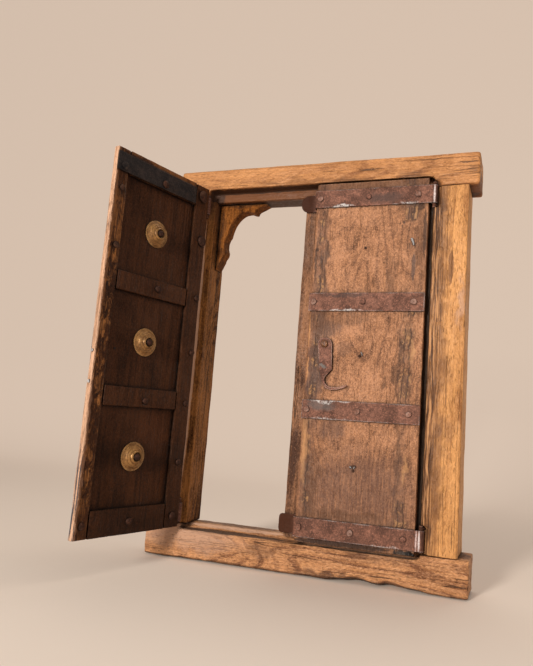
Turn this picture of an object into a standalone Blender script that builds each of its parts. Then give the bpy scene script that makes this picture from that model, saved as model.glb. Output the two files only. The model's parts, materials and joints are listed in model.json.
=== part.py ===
"""A small jharokha window: a heavy joined frame with two hinged shutter leaves.

X runs to the right along the wall, Y away from the viewer and Z up. The window is
laid out with its front on Y = 0 and moved at the end, so that the origin lies under
the middle of the sill. The left leaf stands open towards the viewer and the right
leaf is closed.
"""

import math

import bmesh
import bpy
from mathutils import Matrix

# Driving dimensions, in metres
FRAME_HEIGHT = 0.660
FRAME_DEPTH = 0.064
GAP = 0.0003

# Sill and header
SILL_HALF = 0.263
SILL_HEIGHT = 0.055
LEDGE_DROP = 0.0072
LEDGE_DEPTH = 0.030
WANE_RISE = 0.0113
WANE_DEPTH = 0.026
WANE_SHARES = ((0.17, 0), (0.28, 0.51), (0.37, 0.98), (0.5, 0.44), (0.55, 1), (0.7, 0.43), (0.83, 0))
WANE_STEPS = 4
HEADER_HEIGHT = 0.055
HEADER_INSET = 0.001
REBATE_RISE = 0.0165
REBATE_DEPTH = 0.022
SILL_BEVEL = 0.0022
HEADER_BEVEL = 0.0035

# Jambs and their tenons
HORNS = {"left": 0.016, "right": 0.0168}
JAMB_FACES = {"left": 0.04365, "right": 0.0552}
JAMB_EASE = 0.0012
STOP_CLEARANCE = 0.0015
STOP_LIPS = {"left": 0.0078, "right": 0.0105}
TENON_WIDTH = 0.020
TENON_DEPTH = 0.026
TENON_LENGTH = 0.030
TENON_PLACE_SHARE = 0.6
MORTISE_SPARE = 0.001

# Brackets
BRACKET_FRONT = 0.0323
BRACKET_THICKNESS = 0.0235
BRACKET_REACH = 0.0907
BRACKET_DROP = 0.1187
NOSE_SHARES = ((0.99, 0.012), (0.83, 0.067), (0.767, 0.092), (0.744, 0.140), (0.687, 0.138), (0.608, 0.115))
ARCH_CENTRE_SHARES = (0.575, 0.560)
ARCH_SIZE_SHARES = (0.380, 0.445)
ARCH_ANGLES = (math.radians(80), math.radians(12))
ARCH_STEPS = 12
LOBE_SHARES = (
    (0.170, 0.499),
    (0.141, 0.570),
    (0.145, 0.645),
    (0.173, 0.714),
    (0.164, 0.762),
    (0.105, 0.833),
    (0.112, 0.848),
    (0.042, 0.954),
)

# Leaves
LEAF_THICKNESS = 0.013
BOARD_THICKNESS = 0.0065
LEAF_FEET = {"left": 0.0020, "right": 0.0012}
LEAF_HEADS = {"left": 0.0009, "right": 0.0012}
MEETING_X = -0.0019
SWING_CLEARANCE = 0.0013
EYE_TO_LEAF = 0.0022
LEFT_OPEN_ANGLE = math.radians(105.1)
HINGE_STILE_FACE = 0.030
FREE_STILE_FACE = 0.0235
HINGE_STILE_BACK = 0.0185
FREE_STILE_BACK = 0.0155
ARRIS_RADIUS = 0.004
RAIL_HEIGHT = 0.030
TOP_RAIL_HEIGHT = 0.0385
BOTTOM_RAIL_HEIGHT = 0.0395
RAIL_BEVEL = 0.0008

# Straps, their rolled eyes and the tongues past the meeting edge
STRAP_THICKNESS = 0.002
STRAP_HEIGHT = 0.030
TOP_STRAP_LAP = 0.003
MID_STRAP_SHARES = {"upper": 0.6705, "lower": 0.343}
LEFT_STRAP_SHORT = 0.007
TONGUE_ROUNDING = {"top": 0.0135, "bottom": 0.0065}
TONGUE_REACH = 0.0321
TONGUE_CLEARANCE = 0.0042
BEND_RADIUS = 0.002
CURL_START = math.radians(20)
CURL_END = math.radians(270)
CURL_STEPS = 18
BEND_STEPS = 6
OUTER_STRAP_HEIGHT = 0.029
OUTER_STRAP_LIFT = 0.001
OUTER_STRAP_INSET = 0.0019

# Pins of the hinges and the hollows they sit in
PIN_RADIUS = 0.003
PIN_CLEARANCE = 0.0003
PIN_RISE = 0.0047
PIN_FOOT = 0.0013
PIN_TAIL = 0.0012
SPIKE_RADIUS = 0.0024
SPIKE_LENGTH = 0.034
SPIKE_POINT = 0.010
SPIKE_TIP_SHARE = 0.25
SPIKE_ANGLE = math.radians(45)
POCKET_CLEARANCE = 0.0007
POCKET_SPARE = 0.0015
POCKET_SLOPE = math.radians(45)
POCKET_STEPS = 10
JAMB_TO_AXIS = 0.00145

# Meeting strip
ASTRAGAL_THICKNESS = 0.0125
ASTRAGAL_LAP = 0.0150
ASTRAGAL_REACH = 0.0249
ASTRAGAL_FOOT = 0.0022
ASTRAGAL_HEAD = 0.0030

# Bosses and their nails
BOSS_RADIUS = 0.0220
BOSS_HEIGHT = 0.0108
BOSS_PLACE_SHARE = 0.524
BOSS_SHARES = (
    (0.29, 0.88),
    (0.33, 1.00),
    (0.40, 0.93),
    (0.44, 0.78),
    (0.49, 0.79),
    (0.62, 0.52),
    (0.66, 0.54),
    (0.80, 0.28),
    (0.87, 0.20),
    (0.91, 0.22),
    (1.00, 0.10),
    (1.00, 0.00),
)
NAIL_RADIUS = 0.0018
NAIL_HEAD_RADIUS = 0.0054
NAIL_HEAD_HEIGHT = 0.0042
NAIL_TAIL = 0.0010
DOME_SHARES = ((0.50, 0.85), (0.87, 0.50))

# Hook, its rivet and the staple it drops into
HOOK_DROP = 0.0723
HOOK_INSET = 0.03225
HOOK_REST_SHARE = 0.27
HOOK_THICKNESS = 0.002
HOOK_SHARES = (
    (-0.165, -0.014),
    (-0.140, -0.140),
    (-0.118, -0.358),
    (-0.086, -0.574),
    (-0.053, -0.725),
    (0.001, -0.852),
    (0.077, -0.957),
    (0.192, -1.000),
    (0.326, -0.992),
    (0.480, -0.949),
    (0.578, -0.885),
    (0.552, -0.862),
    (0.455, -0.902),
    (0.344, -0.924),
    (0.188, -0.925),
    (0.119, -0.902),
    (0.069, -0.844),
    (0.047, -0.775),
    (0.066, -0.712),
    (0.134, -0.632),
    (0.207, -0.553),
    (0.195, -0.349),
    (0.177, -0.014),
)
HOOK_HEAD_SHARES = (0.171, 0.149)
HOOK_HEAD_STEPS = 10
WASHER_THICKNESS = 0.0015
WASHER_RADIUS = 0.0070
RIVET_RADIUS = 0.0028
RIVET_HEAD_RADIUS = 0.0057
RIVET_HEAD_HEIGHT = 0.0030
RIVET_TAIL_RADIUS = 0.0048
RIVET_TAIL_HEIGHT = 0.0015
STAPLE_SHARES = (-0.928, -0.466)
STAPLE_WIRE = 0.0015
STAPLE_HALF = 0.0072
STAPLE_REACH = 0.0090
STAPLE_CORNER_SHARE = 0.75
STAPLE_CORNER_STEPS = 5

CUTTER_SPARE = 0.010
WELD = 0.00001
ROUND_STEPS = 32
PIN_STEPS = 24
BORE_STEPS = 16
SMOOTH_ANGLE = math.radians(35)

# Sizes that follow from the ones above
SILL_TOP = SILL_HEIGHT
LEDGE_Z = SILL_TOP - LEDGE_DROP
HEADER_BOTTOM = FRAME_HEIGHT - HEADER_HEIGHT
REBATE_TOP = HEADER_BOTTOM + REBATE_RISE
STOP_FACE = LEAF_THICKNESS + STOP_CLEARANCE
HALF_STRAP = STRAP_HEIGHT / 2
EYE_MIDDLE = PIN_RADIUS + PIN_CLEARANCE + STRAP_THICKNESS / 2
EYE_OUTER = EYE_MIDDLE + STRAP_THICKNESS / 2
AXIS_Y = EYE_MIDDLE - GAP - STRAP_THICKNESS / 2
HINGE_EDGE = EYE_OUTER + EYE_TO_LEAF
HANDS = {"left": 1, "right": -1}
JAMB_OUTER = {side: hand * (HORNS[side] - SILL_HALF) for side, hand in HANDS.items()}
JAMB_INNER = {side: JAMB_OUTER[side] + hand * JAMB_FACES[side] for side, hand in HANDS.items()}
LIP_X = {side: JAMB_INNER[side] + hand * STOP_LIPS[side] for side, hand in HANDS.items()}
AXIS_X = {side: JAMB_INNER[side] - hand * JAMB_TO_AXIS for side, hand in HANDS.items()}
LEFT_FREE_X = MEETING_X - GAP - STRAP_THICKNESS - SWING_CLEARANCE
ASTRAGAL_FACE = LEAF_THICKNESS + GAP
TONGUE_FRONT = LEAF_THICKNESS + TONGUE_CLEARANCE
TONGUE_MIDDLE = TONGUE_FRONT + STRAP_THICKNESS / 2
LIP_FRONT = TONGUE_FRONT + STRAP_THICKNESS + GAP
HINGE_STRAPS = {
    "top": HEADER_BOTTOM + TOP_STRAP_LAP - HALF_STRAP,
    "bottom": SILL_TOP + PIN_FOOT + PIN_TAIL + HALF_STRAP,
}
STRAP_SPAN = HINGE_STRAPS["top"] - HINGE_STRAPS["bottom"]
MID_STRAPS = {
    which: HINGE_STRAPS["bottom"] + share * STRAP_SPAN for which, share in MID_STRAP_SHARES.items()
}
HOOK_HEIGHT = HOOK_DROP * (1 + HOOK_HEAD_SHARES[1])
HOOK_ROOM = MID_STRAPS["upper"] - MID_STRAPS["lower"] - STRAP_HEIGHT
HOOK_REST = (HOOK_ROOM - HOOK_HEIGHT) * HOOK_REST_SHARE
HOOK_X = MEETING_X + HOOK_INSET
HOOK_Z = MID_STRAPS["lower"] + HALF_STRAP + HOOK_REST + HOOK_DROP

MATERIALS = {
    "frame_wood": ((0.43, 0.24, 0.11), 0.62, 0.0),
    "sill_wood": ((0.38, 0.21, 0.11), 0.66, 0.0),
    "bracket_wood": ((0.30, 0.14, 0.05), 0.60, 0.0),
    "leaf_wood_inner": ((0.26, 0.14, 0.08), 0.70, 0.0),
    "leaf_wood_dark": ((0.045, 0.022, 0.014), 0.55, 0.0),
    "rusty_iron": ((0.17, 0.08, 0.06), 0.60, 0.45),
    "dark_iron": ((0.05, 0.045, 0.045), 0.55, 0.6),
    "aged_brass": ((0.20, 0.11, 0.045), 0.50, 0.7),
}


def clear_scene():
    for obj in list(bpy.data.objects):
        bpy.data.objects.remove(obj, do_unlink=True)


def new_collection(name):
    collection = bpy.data.collections.new(name)
    bpy.context.scene.collection.children.link(collection)
    return collection


def make_materials():
    made = {}
    for name, (colour, roughness, metallic) in MATERIALS.items():
        material = bpy.data.materials.new(name)
        material.use_nodes = True
        shader = material.node_tree.nodes["Principled BSDF"]
        shader.inputs["Base Color"].default_value = (*colour, 1.0)
        shader.inputs["Roughness"].default_value = roughness
        shader.inputs["Metallic"].default_value = metallic
        made[name] = material
    return made


clear_scene()
PARTS = new_collection("jharokha_window")
CUTTERS = new_collection("cutters")
CUTTERS.hide_render = True
MATERIAL = make_materials()


def finish(obj, material, parent=None):
    """Put a visible piece in its collection with its material and parent."""
    PARTS.objects.link(obj)
    obj.data.materials.clear()
    obj.data.materials.append(MATERIAL[material])
    obj.parent = parent
    return obj


def as_cutter(obj, parent=None):
    CUTTERS.objects.link(obj)
    obj.data.shade_flat()
    obj.parent = parent
    obj.hide_render = True
    obj.display_type = "WIRE"
    return obj


def block(name, xs, ys, zs):
    """A box between two corners, with its origin at its centre."""
    mesh = bpy.data.meshes.new(name)
    shape = bmesh.new()
    bmesh.ops.create_cube(shape, size=1.0)
    size = [abs(pair[1] - pair[0]) for pair in (xs, ys, zs)]
    bmesh.ops.scale(shape, vec=size, verts=shape.verts)
    shape.to_mesh(mesh)
    shape.free()
    obj = bpy.data.objects.new(name, mesh)
    obj.location = [(pair[0] + pair[1]) / 2 for pair in (xs, ys, zs)]
    return obj


def rod(name, radius, length, tip=0.0, steps=BORE_STEPS):
    """A round bar from the origin along +Z, tapering over its last stretch."""
    mesh = bpy.data.meshes.new(name)
    shape = bmesh.new()
    straight = length - tip
    bmesh.ops.create_cone(
        shape,
        cap_ends=True,
        segments=steps,
        radius1=radius,
        radius2=radius,
        depth=straight,
        matrix=Matrix.Translation((0, 0, straight / 2)),
    )
    if tip:
        top = [face for face in shape.faces if face.normal.z > face.normal.xy.length]
        grown = bmesh.ops.extrude_face_region(shape, geom=top)
        verts = [item for item in grown["geom"] if isinstance(item, bmesh.types.BMVert)]
        bmesh.ops.delete(shape, geom=top, context="FACES_ONLY")
        bmesh.ops.translate(shape, verts=verts, vec=(0, 0, tip))
        bmesh.ops.scale(shape, verts=verts, vec=(SPIKE_TIP_SHARE, SPIKE_TIP_SHARE, 1))
    shape.to_mesh(mesh)
    shape.free()
    return bpy.data.objects.new(name, mesh)


def bore(name, radius, x, z, ys, steps=BORE_STEPS):
    """A round cutter along Y."""
    obj = rod(name, radius, ys[1] - ys[0], steps=steps)
    obj.location = (x, ys[0], z)
    obj.rotation_euler = (math.radians(-90), 0, 0)
    return obj


def sheet(name, outline, thickness, upright):
    """A flat closed outline given thickness, as a mesh centred on its plane.

    An upright sheet has its outline in X and Z, and a lying one in X and Y.
    """
    curve = bpy.data.curves.new(name, "CURVE")
    curve.dimensions = "2D"
    curve.fill_mode = "BOTH"
    curve.extrude = thickness / 2
    spline = curve.splines.new("POLY")
    spline.points.add(len(outline) - 1)
    for point, (x, y) in zip(spline.points, outline):
        point.co = (x, y, 0, 1)
    spline.use_cyclic_u = True
    guide = bpy.data.objects.new(name + "_outline", curve)
    CUTTERS.objects.link(guide)
    bpy.context.view_layer.update()
    graph = bpy.context.evaluated_depsgraph_get()
    mesh = bpy.data.meshes.new_from_object(guide.evaluated_get(graph))
    bpy.data.objects.remove(guide, do_unlink=True)
    shape = bmesh.new()
    shape.from_mesh(mesh)
    bmesh.ops.remove_doubles(shape, verts=shape.verts, dist=WELD)
    if upright:
        turn = Matrix.Rotation(math.radians(90), 3, "X")
        bmesh.ops.rotate(shape, verts=shape.verts, matrix=turn, cent=(0, 0, 0))
    bmesh.ops.recalc_face_normals(shape, faces=shape.faces)
    shape.to_mesh(mesh)
    shape.free()
    mesh.name = name
    mesh.shade_smooth()
    mesh.set_sharp_from_angle(angle=SMOOTH_ANGLE)
    return bpy.data.objects.new(name, mesh)


def turned(name, profile, steps=ROUND_STEPS):
    """A solid of revolution about +Z from (radius, height) points, top to bottom."""
    mesh = bpy.data.meshes.new(name)
    shape = bmesh.new()
    points = [shape.verts.new((radius, 0, height)) for radius, height in profile]
    for first, second in zip(points, points[1:]):
        shape.edges.new((first, second))
    shape.to_mesh(mesh)
    shape.free()
    obj = bpy.data.objects.new(name, mesh)
    screw = obj.modifiers.new("Turn", "SCREW")
    screw.steps = steps
    screw.render_steps = steps
    screw.use_merge_vertices = True
    screw.merge_threshold = WELD
    screw.use_smooth_shade = False
    return obj


def boolean(obj, other, operation="DIFFERENCE"):
    modifier = obj.modifiers.new(operation.title(), "BOOLEAN")
    modifier.operation = operation
    modifier.object = other
    modifier.solver = "EXACT"


def soften(obj, width, segments=2):
    bevel = obj.modifiers.new("Worn edges", "BEVEL")
    bevel.width = width
    bevel.segments = segments
    bevel.limit_method = "ANGLE"
    bevel.angle_limit = math.radians(50)


def eased(outline, ease):
    """The same outline with each corner cut back a little along both its sides."""
    made = []
    for number, (x, y) in enumerate(outline):
        for other in (outline[number - 1], outline[(number + 1) % len(outline)]):
            share = ease / math.hypot(other[0] - x, other[1] - y)
            made.append((x + (other[0] - x) * share, y + (other[1] - y) * share))
    return made


def arc(centre, radius, start, end, steps):
    """Points on an arc with the direction of travel at each."""
    turn = math.copysign(math.pi / 2, end - start)
    made = []
    for step in range(steps + 1):
        angle = start + (end - start) * step / steps
        x = centre[0] + radius * math.cos(angle)
        y = centre[1] + radius * math.sin(angle)
        made.append((x, y, angle + turn))
    return made


def band(path, half):
    """The outline of a strip of even thickness along a path of directed points."""
    left = [(x - half * math.sin(a), y + half * math.cos(a)) for x, y, a in path]
    right = [(x + half * math.sin(a), y - half * math.cos(a)) for x, y, a in path]
    return left + right[::-1]


def waved(points, steps):
    """The same line with each stretch eased into a wave, as a weathered edge runs."""
    made = [points[0]]
    for (x, z), (next_x, next_z) in zip(points, points[1:]):
        for step in range(1, steps + 1):
            along = step / steps
            rise = (1 - math.cos(math.pi * along)) / 2
            made.append((x + (next_x - x) * along, z + (next_z - z) * rise))
    return made


def tenon(name, side, zs, clearance=0.0):
    """A tenon in the middle of a jamb's thick part, or with a clearance its mortise."""
    x_centre = (LIP_X[side] + JAMB_OUTER[side]) / 2
    y_centre = FRAME_DEPTH * TENON_PLACE_SHARE
    half_x = TENON_WIDTH / 2 + clearance
    half_y = TENON_DEPTH / 2 + clearance
    xs = (x_centre - half_x, x_centre + half_x)
    return block(name, xs, (y_centre - half_y, y_centre + half_y), zs)


def pocket(name, side, zs):
    """The hollow that lets a rolled eye turn: a round seat with a sloped front."""
    radius = EYE_OUTER + POCKET_CLEARANCE
    front = AXIS_Y + CUTTER_SPARE
    slope_end = (radius + front * math.sin(POCKET_SLOPE)) / math.cos(POCKET_SLOPE)
    seat = arc((0, 0), radius, POCKET_SLOPE, math.pi, POCKET_STEPS)
    points = [(x, y) for x, y, _ in seat]
    points += [(-CUTTER_SPARE, 0), (-CUTTER_SPARE, -front), (slope_end, -front)]
    outline = [(-HANDS[side] * x, y) for x, y in points]
    obj = sheet(name, outline, zs[1] - zs[0], upright=False)
    obj.location = (AXIS_X[side], AXIS_Y, (zs[0] + zs[1]) / 2)
    return obj


def spike_level(which):
    """The height of a pin's spike: under the top eye, over the bottom one."""
    away = HALF_STRAP + GAP + SPIKE_RADIUS
    centre = HINGE_STRAPS[which]
    return centre - away if which == "top" else centre + away


def spike_place(side, which):
    """Where a pin's spike starts, and its turn from +Z into the jamb."""
    place = Matrix.Translation((AXIS_X[side], AXIS_Y, spike_level(which)))
    heading = math.pi - SPIKE_ANGLE if side == "left" else SPIKE_ANGLE
    lie_down = Matrix.Rotation(math.radians(90), 4, "Y")
    return place @ Matrix.Rotation(heading, 4, "Z") @ lie_down


def make_wane():
    """The bark edge missing under the front: deepest at the face, gone behind."""
    line = [(x * SILL_HALF, z * WANE_RISE) for x, z in WANE_SHARES]
    outline = waved(line, WANE_STEPS)
    outline += [(line[-1][0], -CUTTER_SPARE), (line[0][0], -CUTTER_SPARE)]
    depth = WANE_DEPTH + CUTTER_SPARE
    wane = sheet("sill_wane", outline, depth, upright=True)
    slope = WANE_RISE / WANE_DEPTH
    for vertex in wane.data.vertices:
        behind_face = vertex.co.y + depth / 2 - CUTTER_SPARE
        vertex.co.z -= slope * behind_face
    wane.location = (0, depth / 2 - CUTTER_SPARE, 0)
    return wane


def make_sill():
    xs = (-SILL_HALF, SILL_HALF)
    sill = block("sill", xs, (0, FRAME_DEPTH), (0, SILL_TOP))
    soften(sill, SILL_BEVEL)
    finish(sill, "sill_wood")
    ledge_xs = (JAMB_INNER["left"], JAMB_INNER["right"])
    above = SILL_TOP + CUTTER_SPARE
    ledge = block("sill_ledge", ledge_xs, (-CUTTER_SPARE, LEDGE_DEPTH), (LEDGE_Z, above))
    boolean(sill, as_cutter(ledge))
    floor = SILL_TOP - TENON_LENGTH - MORTISE_SPARE
    for side in HANDS:
        boolean(sill, as_cutter(tenon("sill_mortise_" + side, side, (floor, above), GAP)))
    boolean(sill, as_cutter(make_wane()))


def make_header():
    half = SILL_HALF - HEADER_INSET
    header = block("header", (-half, half), (0, FRAME_DEPTH), (HEADER_BOTTOM, FRAME_HEIGHT))
    soften(header, HEADER_BEVEL, 3)
    finish(header, "frame_wood")
    below = HEADER_BOTTOM - CUTTER_SPARE
    rebate_xs = (JAMB_INNER["left"], JAMB_INNER["right"])
    rebate = block("header_rebate", rebate_xs, (-CUTTER_SPARE, REBATE_DEPTH), (below, REBATE_TOP))
    boolean(header, as_cutter(rebate))
    ceiling = HEADER_BOTTOM + TENON_LENGTH + MORTISE_SPARE
    eye_room = HINGE_STRAPS["top"] + HALF_STRAP + PIN_RISE + POCKET_SPARE
    for side in HANDS:
        boolean(header, as_cutter(tenon("header_mortise_" + side, side, (below, ceiling), GAP)))
        boolean(header, as_cutter(pocket("header_pocket_" + side, side, (below, eye_room))))


def make_jamb(side):
    """One upright: a front part, a deeper stop, a tenon at each end."""
    name = "jamb_" + side
    inner_x = JAMB_INNER[side]
    outer_x = JAMB_OUTER[side]
    lip_x = LIP_X[side]
    low = SILL_TOP + GAP
    high = HEADER_BOTTOM - GAP
    outline = [
        (outer_x, 0),
        (inner_x, 0),
        (inner_x, STOP_FACE),
        (lip_x, STOP_FACE),
        (lip_x, FRAME_DEPTH),
        (outer_x, FRAME_DEPTH),
    ]
    jamb = sheet(name, eased(outline, JAMB_EASE), high - low, upright=False)
    jamb.location = (0, 0, (low + high) / 2)
    finish(jamb, "frame_wood")
    foot = tenon(name + "_foot_tenon", side, (SILL_TOP - TENON_LENGTH, low + GAP))
    head = tenon(name + "_head_tenon", side, (high - GAP, HEADER_BOTTOM + TENON_LENGTH))
    boolean(jamb, as_cutter(foot), "UNION")
    boolean(jamb, as_cutter(head), "UNION")
    reach = SPIKE_RADIUS + PIN_FOOT + POCKET_SPARE
    upper_zs = (spike_level("top") - reach, high + CUTTER_SPARE)
    lower_zs = (low - CUTTER_SPARE, spike_level("bottom") + reach)
    boolean(jamb, as_cutter(pocket(name + "_pocket_top", side, upper_zs)))
    boolean(jamb, as_cutter(pocket(name + "_pocket_bottom", side, lower_zs)))
    for which in HINGE_STRAPS:
        hole = rod(name + "_spike_hole_" + which, SPIKE_RADIUS + GAP, SPIKE_LENGTH + MORTISE_SPARE)
        hole.matrix_world = spike_place(side, which)
        boolean(jamb, as_cutter(hole))


def make_pintle(side, which):
    """A pin for the eye, with a spike driven slantwise into the jamb."""
    past_spike = SPIKE_RADIUS + PIN_FOOT
    centre = HINGE_STRAPS[which]
    if which == "top":
        zs = (spike_level(which) - past_spike, centre + HALF_STRAP + PIN_RISE)
    else:
        zs = (centre - HALF_STRAP - PIN_TAIL, spike_level(which) + past_spike)
    pin = rod("_".join(("pintle", side, which)), PIN_RADIUS, zs[1] - zs[0], steps=PIN_STEPS)
    pin.location = (AXIS_X[side], AXIS_Y, zs[0])
    finish(pin, "dark_iron")
    spike = rod(pin.name + "_spike", SPIKE_RADIUS, SPIKE_LENGTH, SPIKE_POINT)
    spike.matrix_world = spike_place(side, which)
    boolean(pin, as_cutter(spike), "UNION")
    pin.data.shade_smooth()
    pin.data.set_sharp_from_angle(angle=SMOOTH_ANGLE)


def bracket_outline():
    """Distance from the reveal and height under the header, round the carved edge."""
    nose = [(x * BRACKET_REACH, -z * BRACKET_DROP) for x, z in NOSE_SHARES]
    arch = []
    for step in range(ARCH_STEPS + 1):
        angle = ARCH_ANGLES[0] + (ARCH_ANGLES[1] - ARCH_ANGLES[0]) * step / ARCH_STEPS
        x = ARCH_CENTRE_SHARES[0] - ARCH_SIZE_SHARES[0] * math.cos(angle)
        z = ARCH_CENTRE_SHARES[1] - ARCH_SIZE_SHARES[1] * math.sin(angle)
        arch.append((x * BRACKET_REACH, -z * BRACKET_DROP))
    lobes = [(x * BRACKET_REACH, -z * BRACKET_DROP) for x, z in LOBE_SHARES]
    corner = [(GAP, -BRACKET_DROP), (GAP, -GAP), (BRACKET_REACH, -GAP)]
    return nose + arch + lobes + corner


def make_bracket(side):
    hand = HANDS[side]
    outline = [(hand * x, z) for x, z in bracket_outline()]
    bracket = sheet("bracket_" + side, outline, BRACKET_THICKNESS, upright=True)
    bracket.location = (LIP_X[side], BRACKET_FRONT + BRACKET_THICKNESS / 2, HEADER_BOTTOM)
    finish(bracket, "bracket_wood")


class Leaf:
    """One shutter leaf, laid out closed about its hinge axis.

    Lengths along the leaf are counted from the axis towards the free edge, and
    depths from the axis away from the viewer. The empty on the axis turns it.
    """

    def __init__(self, side, free_x, open_angle, wood):
        self.side = side
        self.hand = HANDS[side]
        self.wood = wood
        self.axis_x = AXIS_X[side]
        self.zs = (LEDGE_Z + LEAF_FEET[side], REBATE_TOP - LEAF_HEADS[side])
        self.start = HINGE_EDGE
        self.end = abs(free_x - self.axis_x)
        self.inner = -AXIS_Y
        self.outer = LEAF_THICKNESS - AXIS_Y
        self.seam = BOARD_THICKNESS - AXIS_Y
        self.empty = bpy.data.objects.new(side + "_leaf_axis", None)
        self.empty.location = (self.axis_x, AXIS_Y, 0)
        self.empty.rotation_euler = (0, 0, -self.hand * open_angle)
        PARTS.objects.link(self.empty)

    def name(self, what):
        return self.side + "_" + what

    def block(self, what, along, depths, zs):
        xs = sorted(self.hand * x for x in along)
        return block(self.name(what), xs, depths, zs)

    def add(self, obj, material):
        return finish(obj, material, self.empty)

    def cutter(self, obj):
        return as_cutter(obj, self.empty)

    def rails(self):
        """The heights between which each rail lies, from the top down."""
        levels = [(self.zs[1] - TOP_RAIL_HEIGHT, self.zs[1])]
        for z in MID_STRAPS.values():
            levels.append((z - RAIL_HEIGHT / 2, z + RAIL_HEIGHT / 2))
        return levels + [(self.zs[0], self.zs[0] + BOTTOM_RAIL_HEIGHT)]

    def stile(self, what, edge, inward, face, back, rounded):
        """A stile rebated behind for the board, its outer arris rounded if asked."""
        step = self.seam + GAP
        points = [(0, self.inner)]
        if rounded:
            centre = (ARRIS_RADIUS, self.inner + ARRIS_RADIUS)
            corner = arc(centre, ARRIS_RADIUS, math.pi, math.radians(270), BEND_STEPS)
            points = [(x, y) for x, y, _ in corner]
        points += [(back, self.inner), (back, step), (face, step)]
        points += [(face, self.outer), (0, self.outer)]
        outline = [(self.hand * (edge + inward * x), y) for x, y in points]
        obj = sheet(self.name(what), outline, self.zs[1] - self.zs[0], upright=False)
        obj.location = (0, 0, sum(self.zs) / 2)
        return self.add(obj, self.wood)

    def make_wood(self):
        self.stile("hinge_stile", self.start, 1, HINGE_STILE_FACE, HINGE_STILE_BACK, False)
        self.stile("free_stile", self.end, -1, FREE_STILE_FACE, FREE_STILE_BACK, True)
        along = (self.start + HINGE_STILE_BACK + GAP, self.end - FREE_STILE_BACK - GAP)
        self.board = self.block("board", along, (self.inner, self.seam), self.zs)
        self.add(self.board, "leaf_wood_inner")
        along = (self.start + HINGE_STILE_FACE + GAP, self.end - FREE_STILE_FACE - GAP)
        depths = (self.seam + GAP, self.outer)
        for number, zs in enumerate(self.rails(), 1):
            rail = self.block("rail_%d" % number, along, depths, zs)
            soften(rail, RAIL_BEVEL)
            self.add(rail, self.wood)

    def strap_path(self, cranked):
        """The rolled eye, the run along the leaf and, if cranked, its bent tongue."""
        path = arc((0, 0), EYE_MIDDLE, CURL_START, CURL_END, CURL_STEPS)
        if not cranked:
            return path + [(self.end - LEFT_STRAP_SHORT, -EYE_MIDDLE, 0)]
        round_corner = ARRIS_RADIUS + GAP + STRAP_THICKNESS / 2
        centre = (self.end - ARRIS_RADIUS, self.inner + ARRIS_RADIUS)
        path += arc(centre, round_corner, -math.pi / 2, 0, BEND_STEPS)
        run_x = centre[0] + round_corner
        bend = (run_x + BEND_RADIUS, TONGUE_MIDDLE - AXIS_Y - BEND_RADIUS)
        path += arc(bend, BEND_RADIUS, math.pi, math.pi / 2, BEND_STEPS)
        return path + [(self.end + TONGUE_REACH, TONGUE_MIDDLE - AXIS_Y, 0)]

    def strap_face(self, end, rounding):
        """The strap seen square on, its free end rounded."""
        far = end - rounding
        rise = HALF_STRAP - rounding
        upper = arc((far, rise), rounding, math.pi / 2, 0, BEND_STEPS * 2)
        points = [(x, y) for x, y, _ in upper]
        points += [(x, -y) for x, y in reversed(points)]
        near = -EYE_OUTER - CUTTER_SPARE
        return [(near, HALF_STRAP)] + points + [(near, -HALF_STRAP)]

    def make_hinge_strap(self, which, cranked):
        path = self.strap_path(cranked)
        outline = [(self.hand * x, y) for x, y in band(path, STRAP_THICKNESS / 2)]
        name = self.name("hinge_strap_" + which)
        strap = sheet(name, outline, STRAP_HEIGHT + CUTTER_SPARE, upright=False)
        strap.location = (0, 0, HINGE_STRAPS[which])
        self.add(strap, "rusty_iron")
        face = self.strap_face(path[-1][0], TONGUE_ROUNDING[which])
        face = [(self.hand * x, z) for x, z in face]
        through = 2 * (TONGUE_FRONT + STRAP_THICKNESS + CUTTER_SPARE)
        mask = sheet(name + "_face", face, through, upright=True)
        mask.location = (0, 0, HINGE_STRAPS[which])
        boolean(strap, self.cutter(mask), "INTERSECT")

    def make_straps(self, cranked, outer_end):
        for which in HINGE_STRAPS:
            self.make_hinge_strap(which, cranked)
        depths = (self.inner - GAP - STRAP_THICKNESS, self.inner - GAP)
        far = self.end if cranked else self.end - LEFT_STRAP_SHORT
        for which, z in MID_STRAPS.items():
            zs = (z - HALF_STRAP, z + HALF_STRAP)
            strap = self.block("strap_" + which, (self.start, far), depths, zs)
            self.add(strap, "rusty_iron")
        depths = (self.outer + GAP, self.outer + GAP + STRAP_THICKNESS)
        low = self.rails()[0][0] + OUTER_STRAP_LIFT
        near = self.start + HINGE_STILE_FACE + OUTER_STRAP_INSET
        zs = (low, low + OUTER_STRAP_HEIGHT)
        self.add(self.block("outer_strap", (near, outer_end), depths, zs), "dark_iron")

    def make_bosses(self):
        """Turned brass bosses in the panels, each held by a round-headed nail."""
        x = self.hand * (self.start + BOSS_PLACE_SHARE * (self.end - self.start))
        base = self.seam + GAP
        hole = NAIL_RADIUS + GAP
        crown = BOSS_HEIGHT * BOSS_SHARES[0][1]
        inside = [(hole, 0), (hole, crown)]
        profile = [(r * BOSS_RADIUS, z * BOSS_HEIGHT) for r, z in BOSS_SHARES]
        rails = self.rails()
        for number, (above, below) in enumerate(zip(rails, rails[1:]), 1):
            z = (above[0] + below[1]) / 2
            boss = turned(self.name("boss_%d" % number), inside[1:] + profile + inside)
            nail = turned(self.name("boss_nail_%d" % number), self.nail_profile())
            for piece, material in ((boss, "aged_brass"), (nail, "dark_iron")):
                piece.location = (x, base, z)
                piece.rotation_euler = (math.radians(-90), 0, 0)
                self.add(piece, material)
            ys = (self.inner - CUTTER_SPARE, self.seam + CUTTER_SPARE)
            cutter = bore(self.name("nail_hole_%d" % number), hole, x, z, ys)
            boolean(self.board, self.cutter(cutter))

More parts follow.
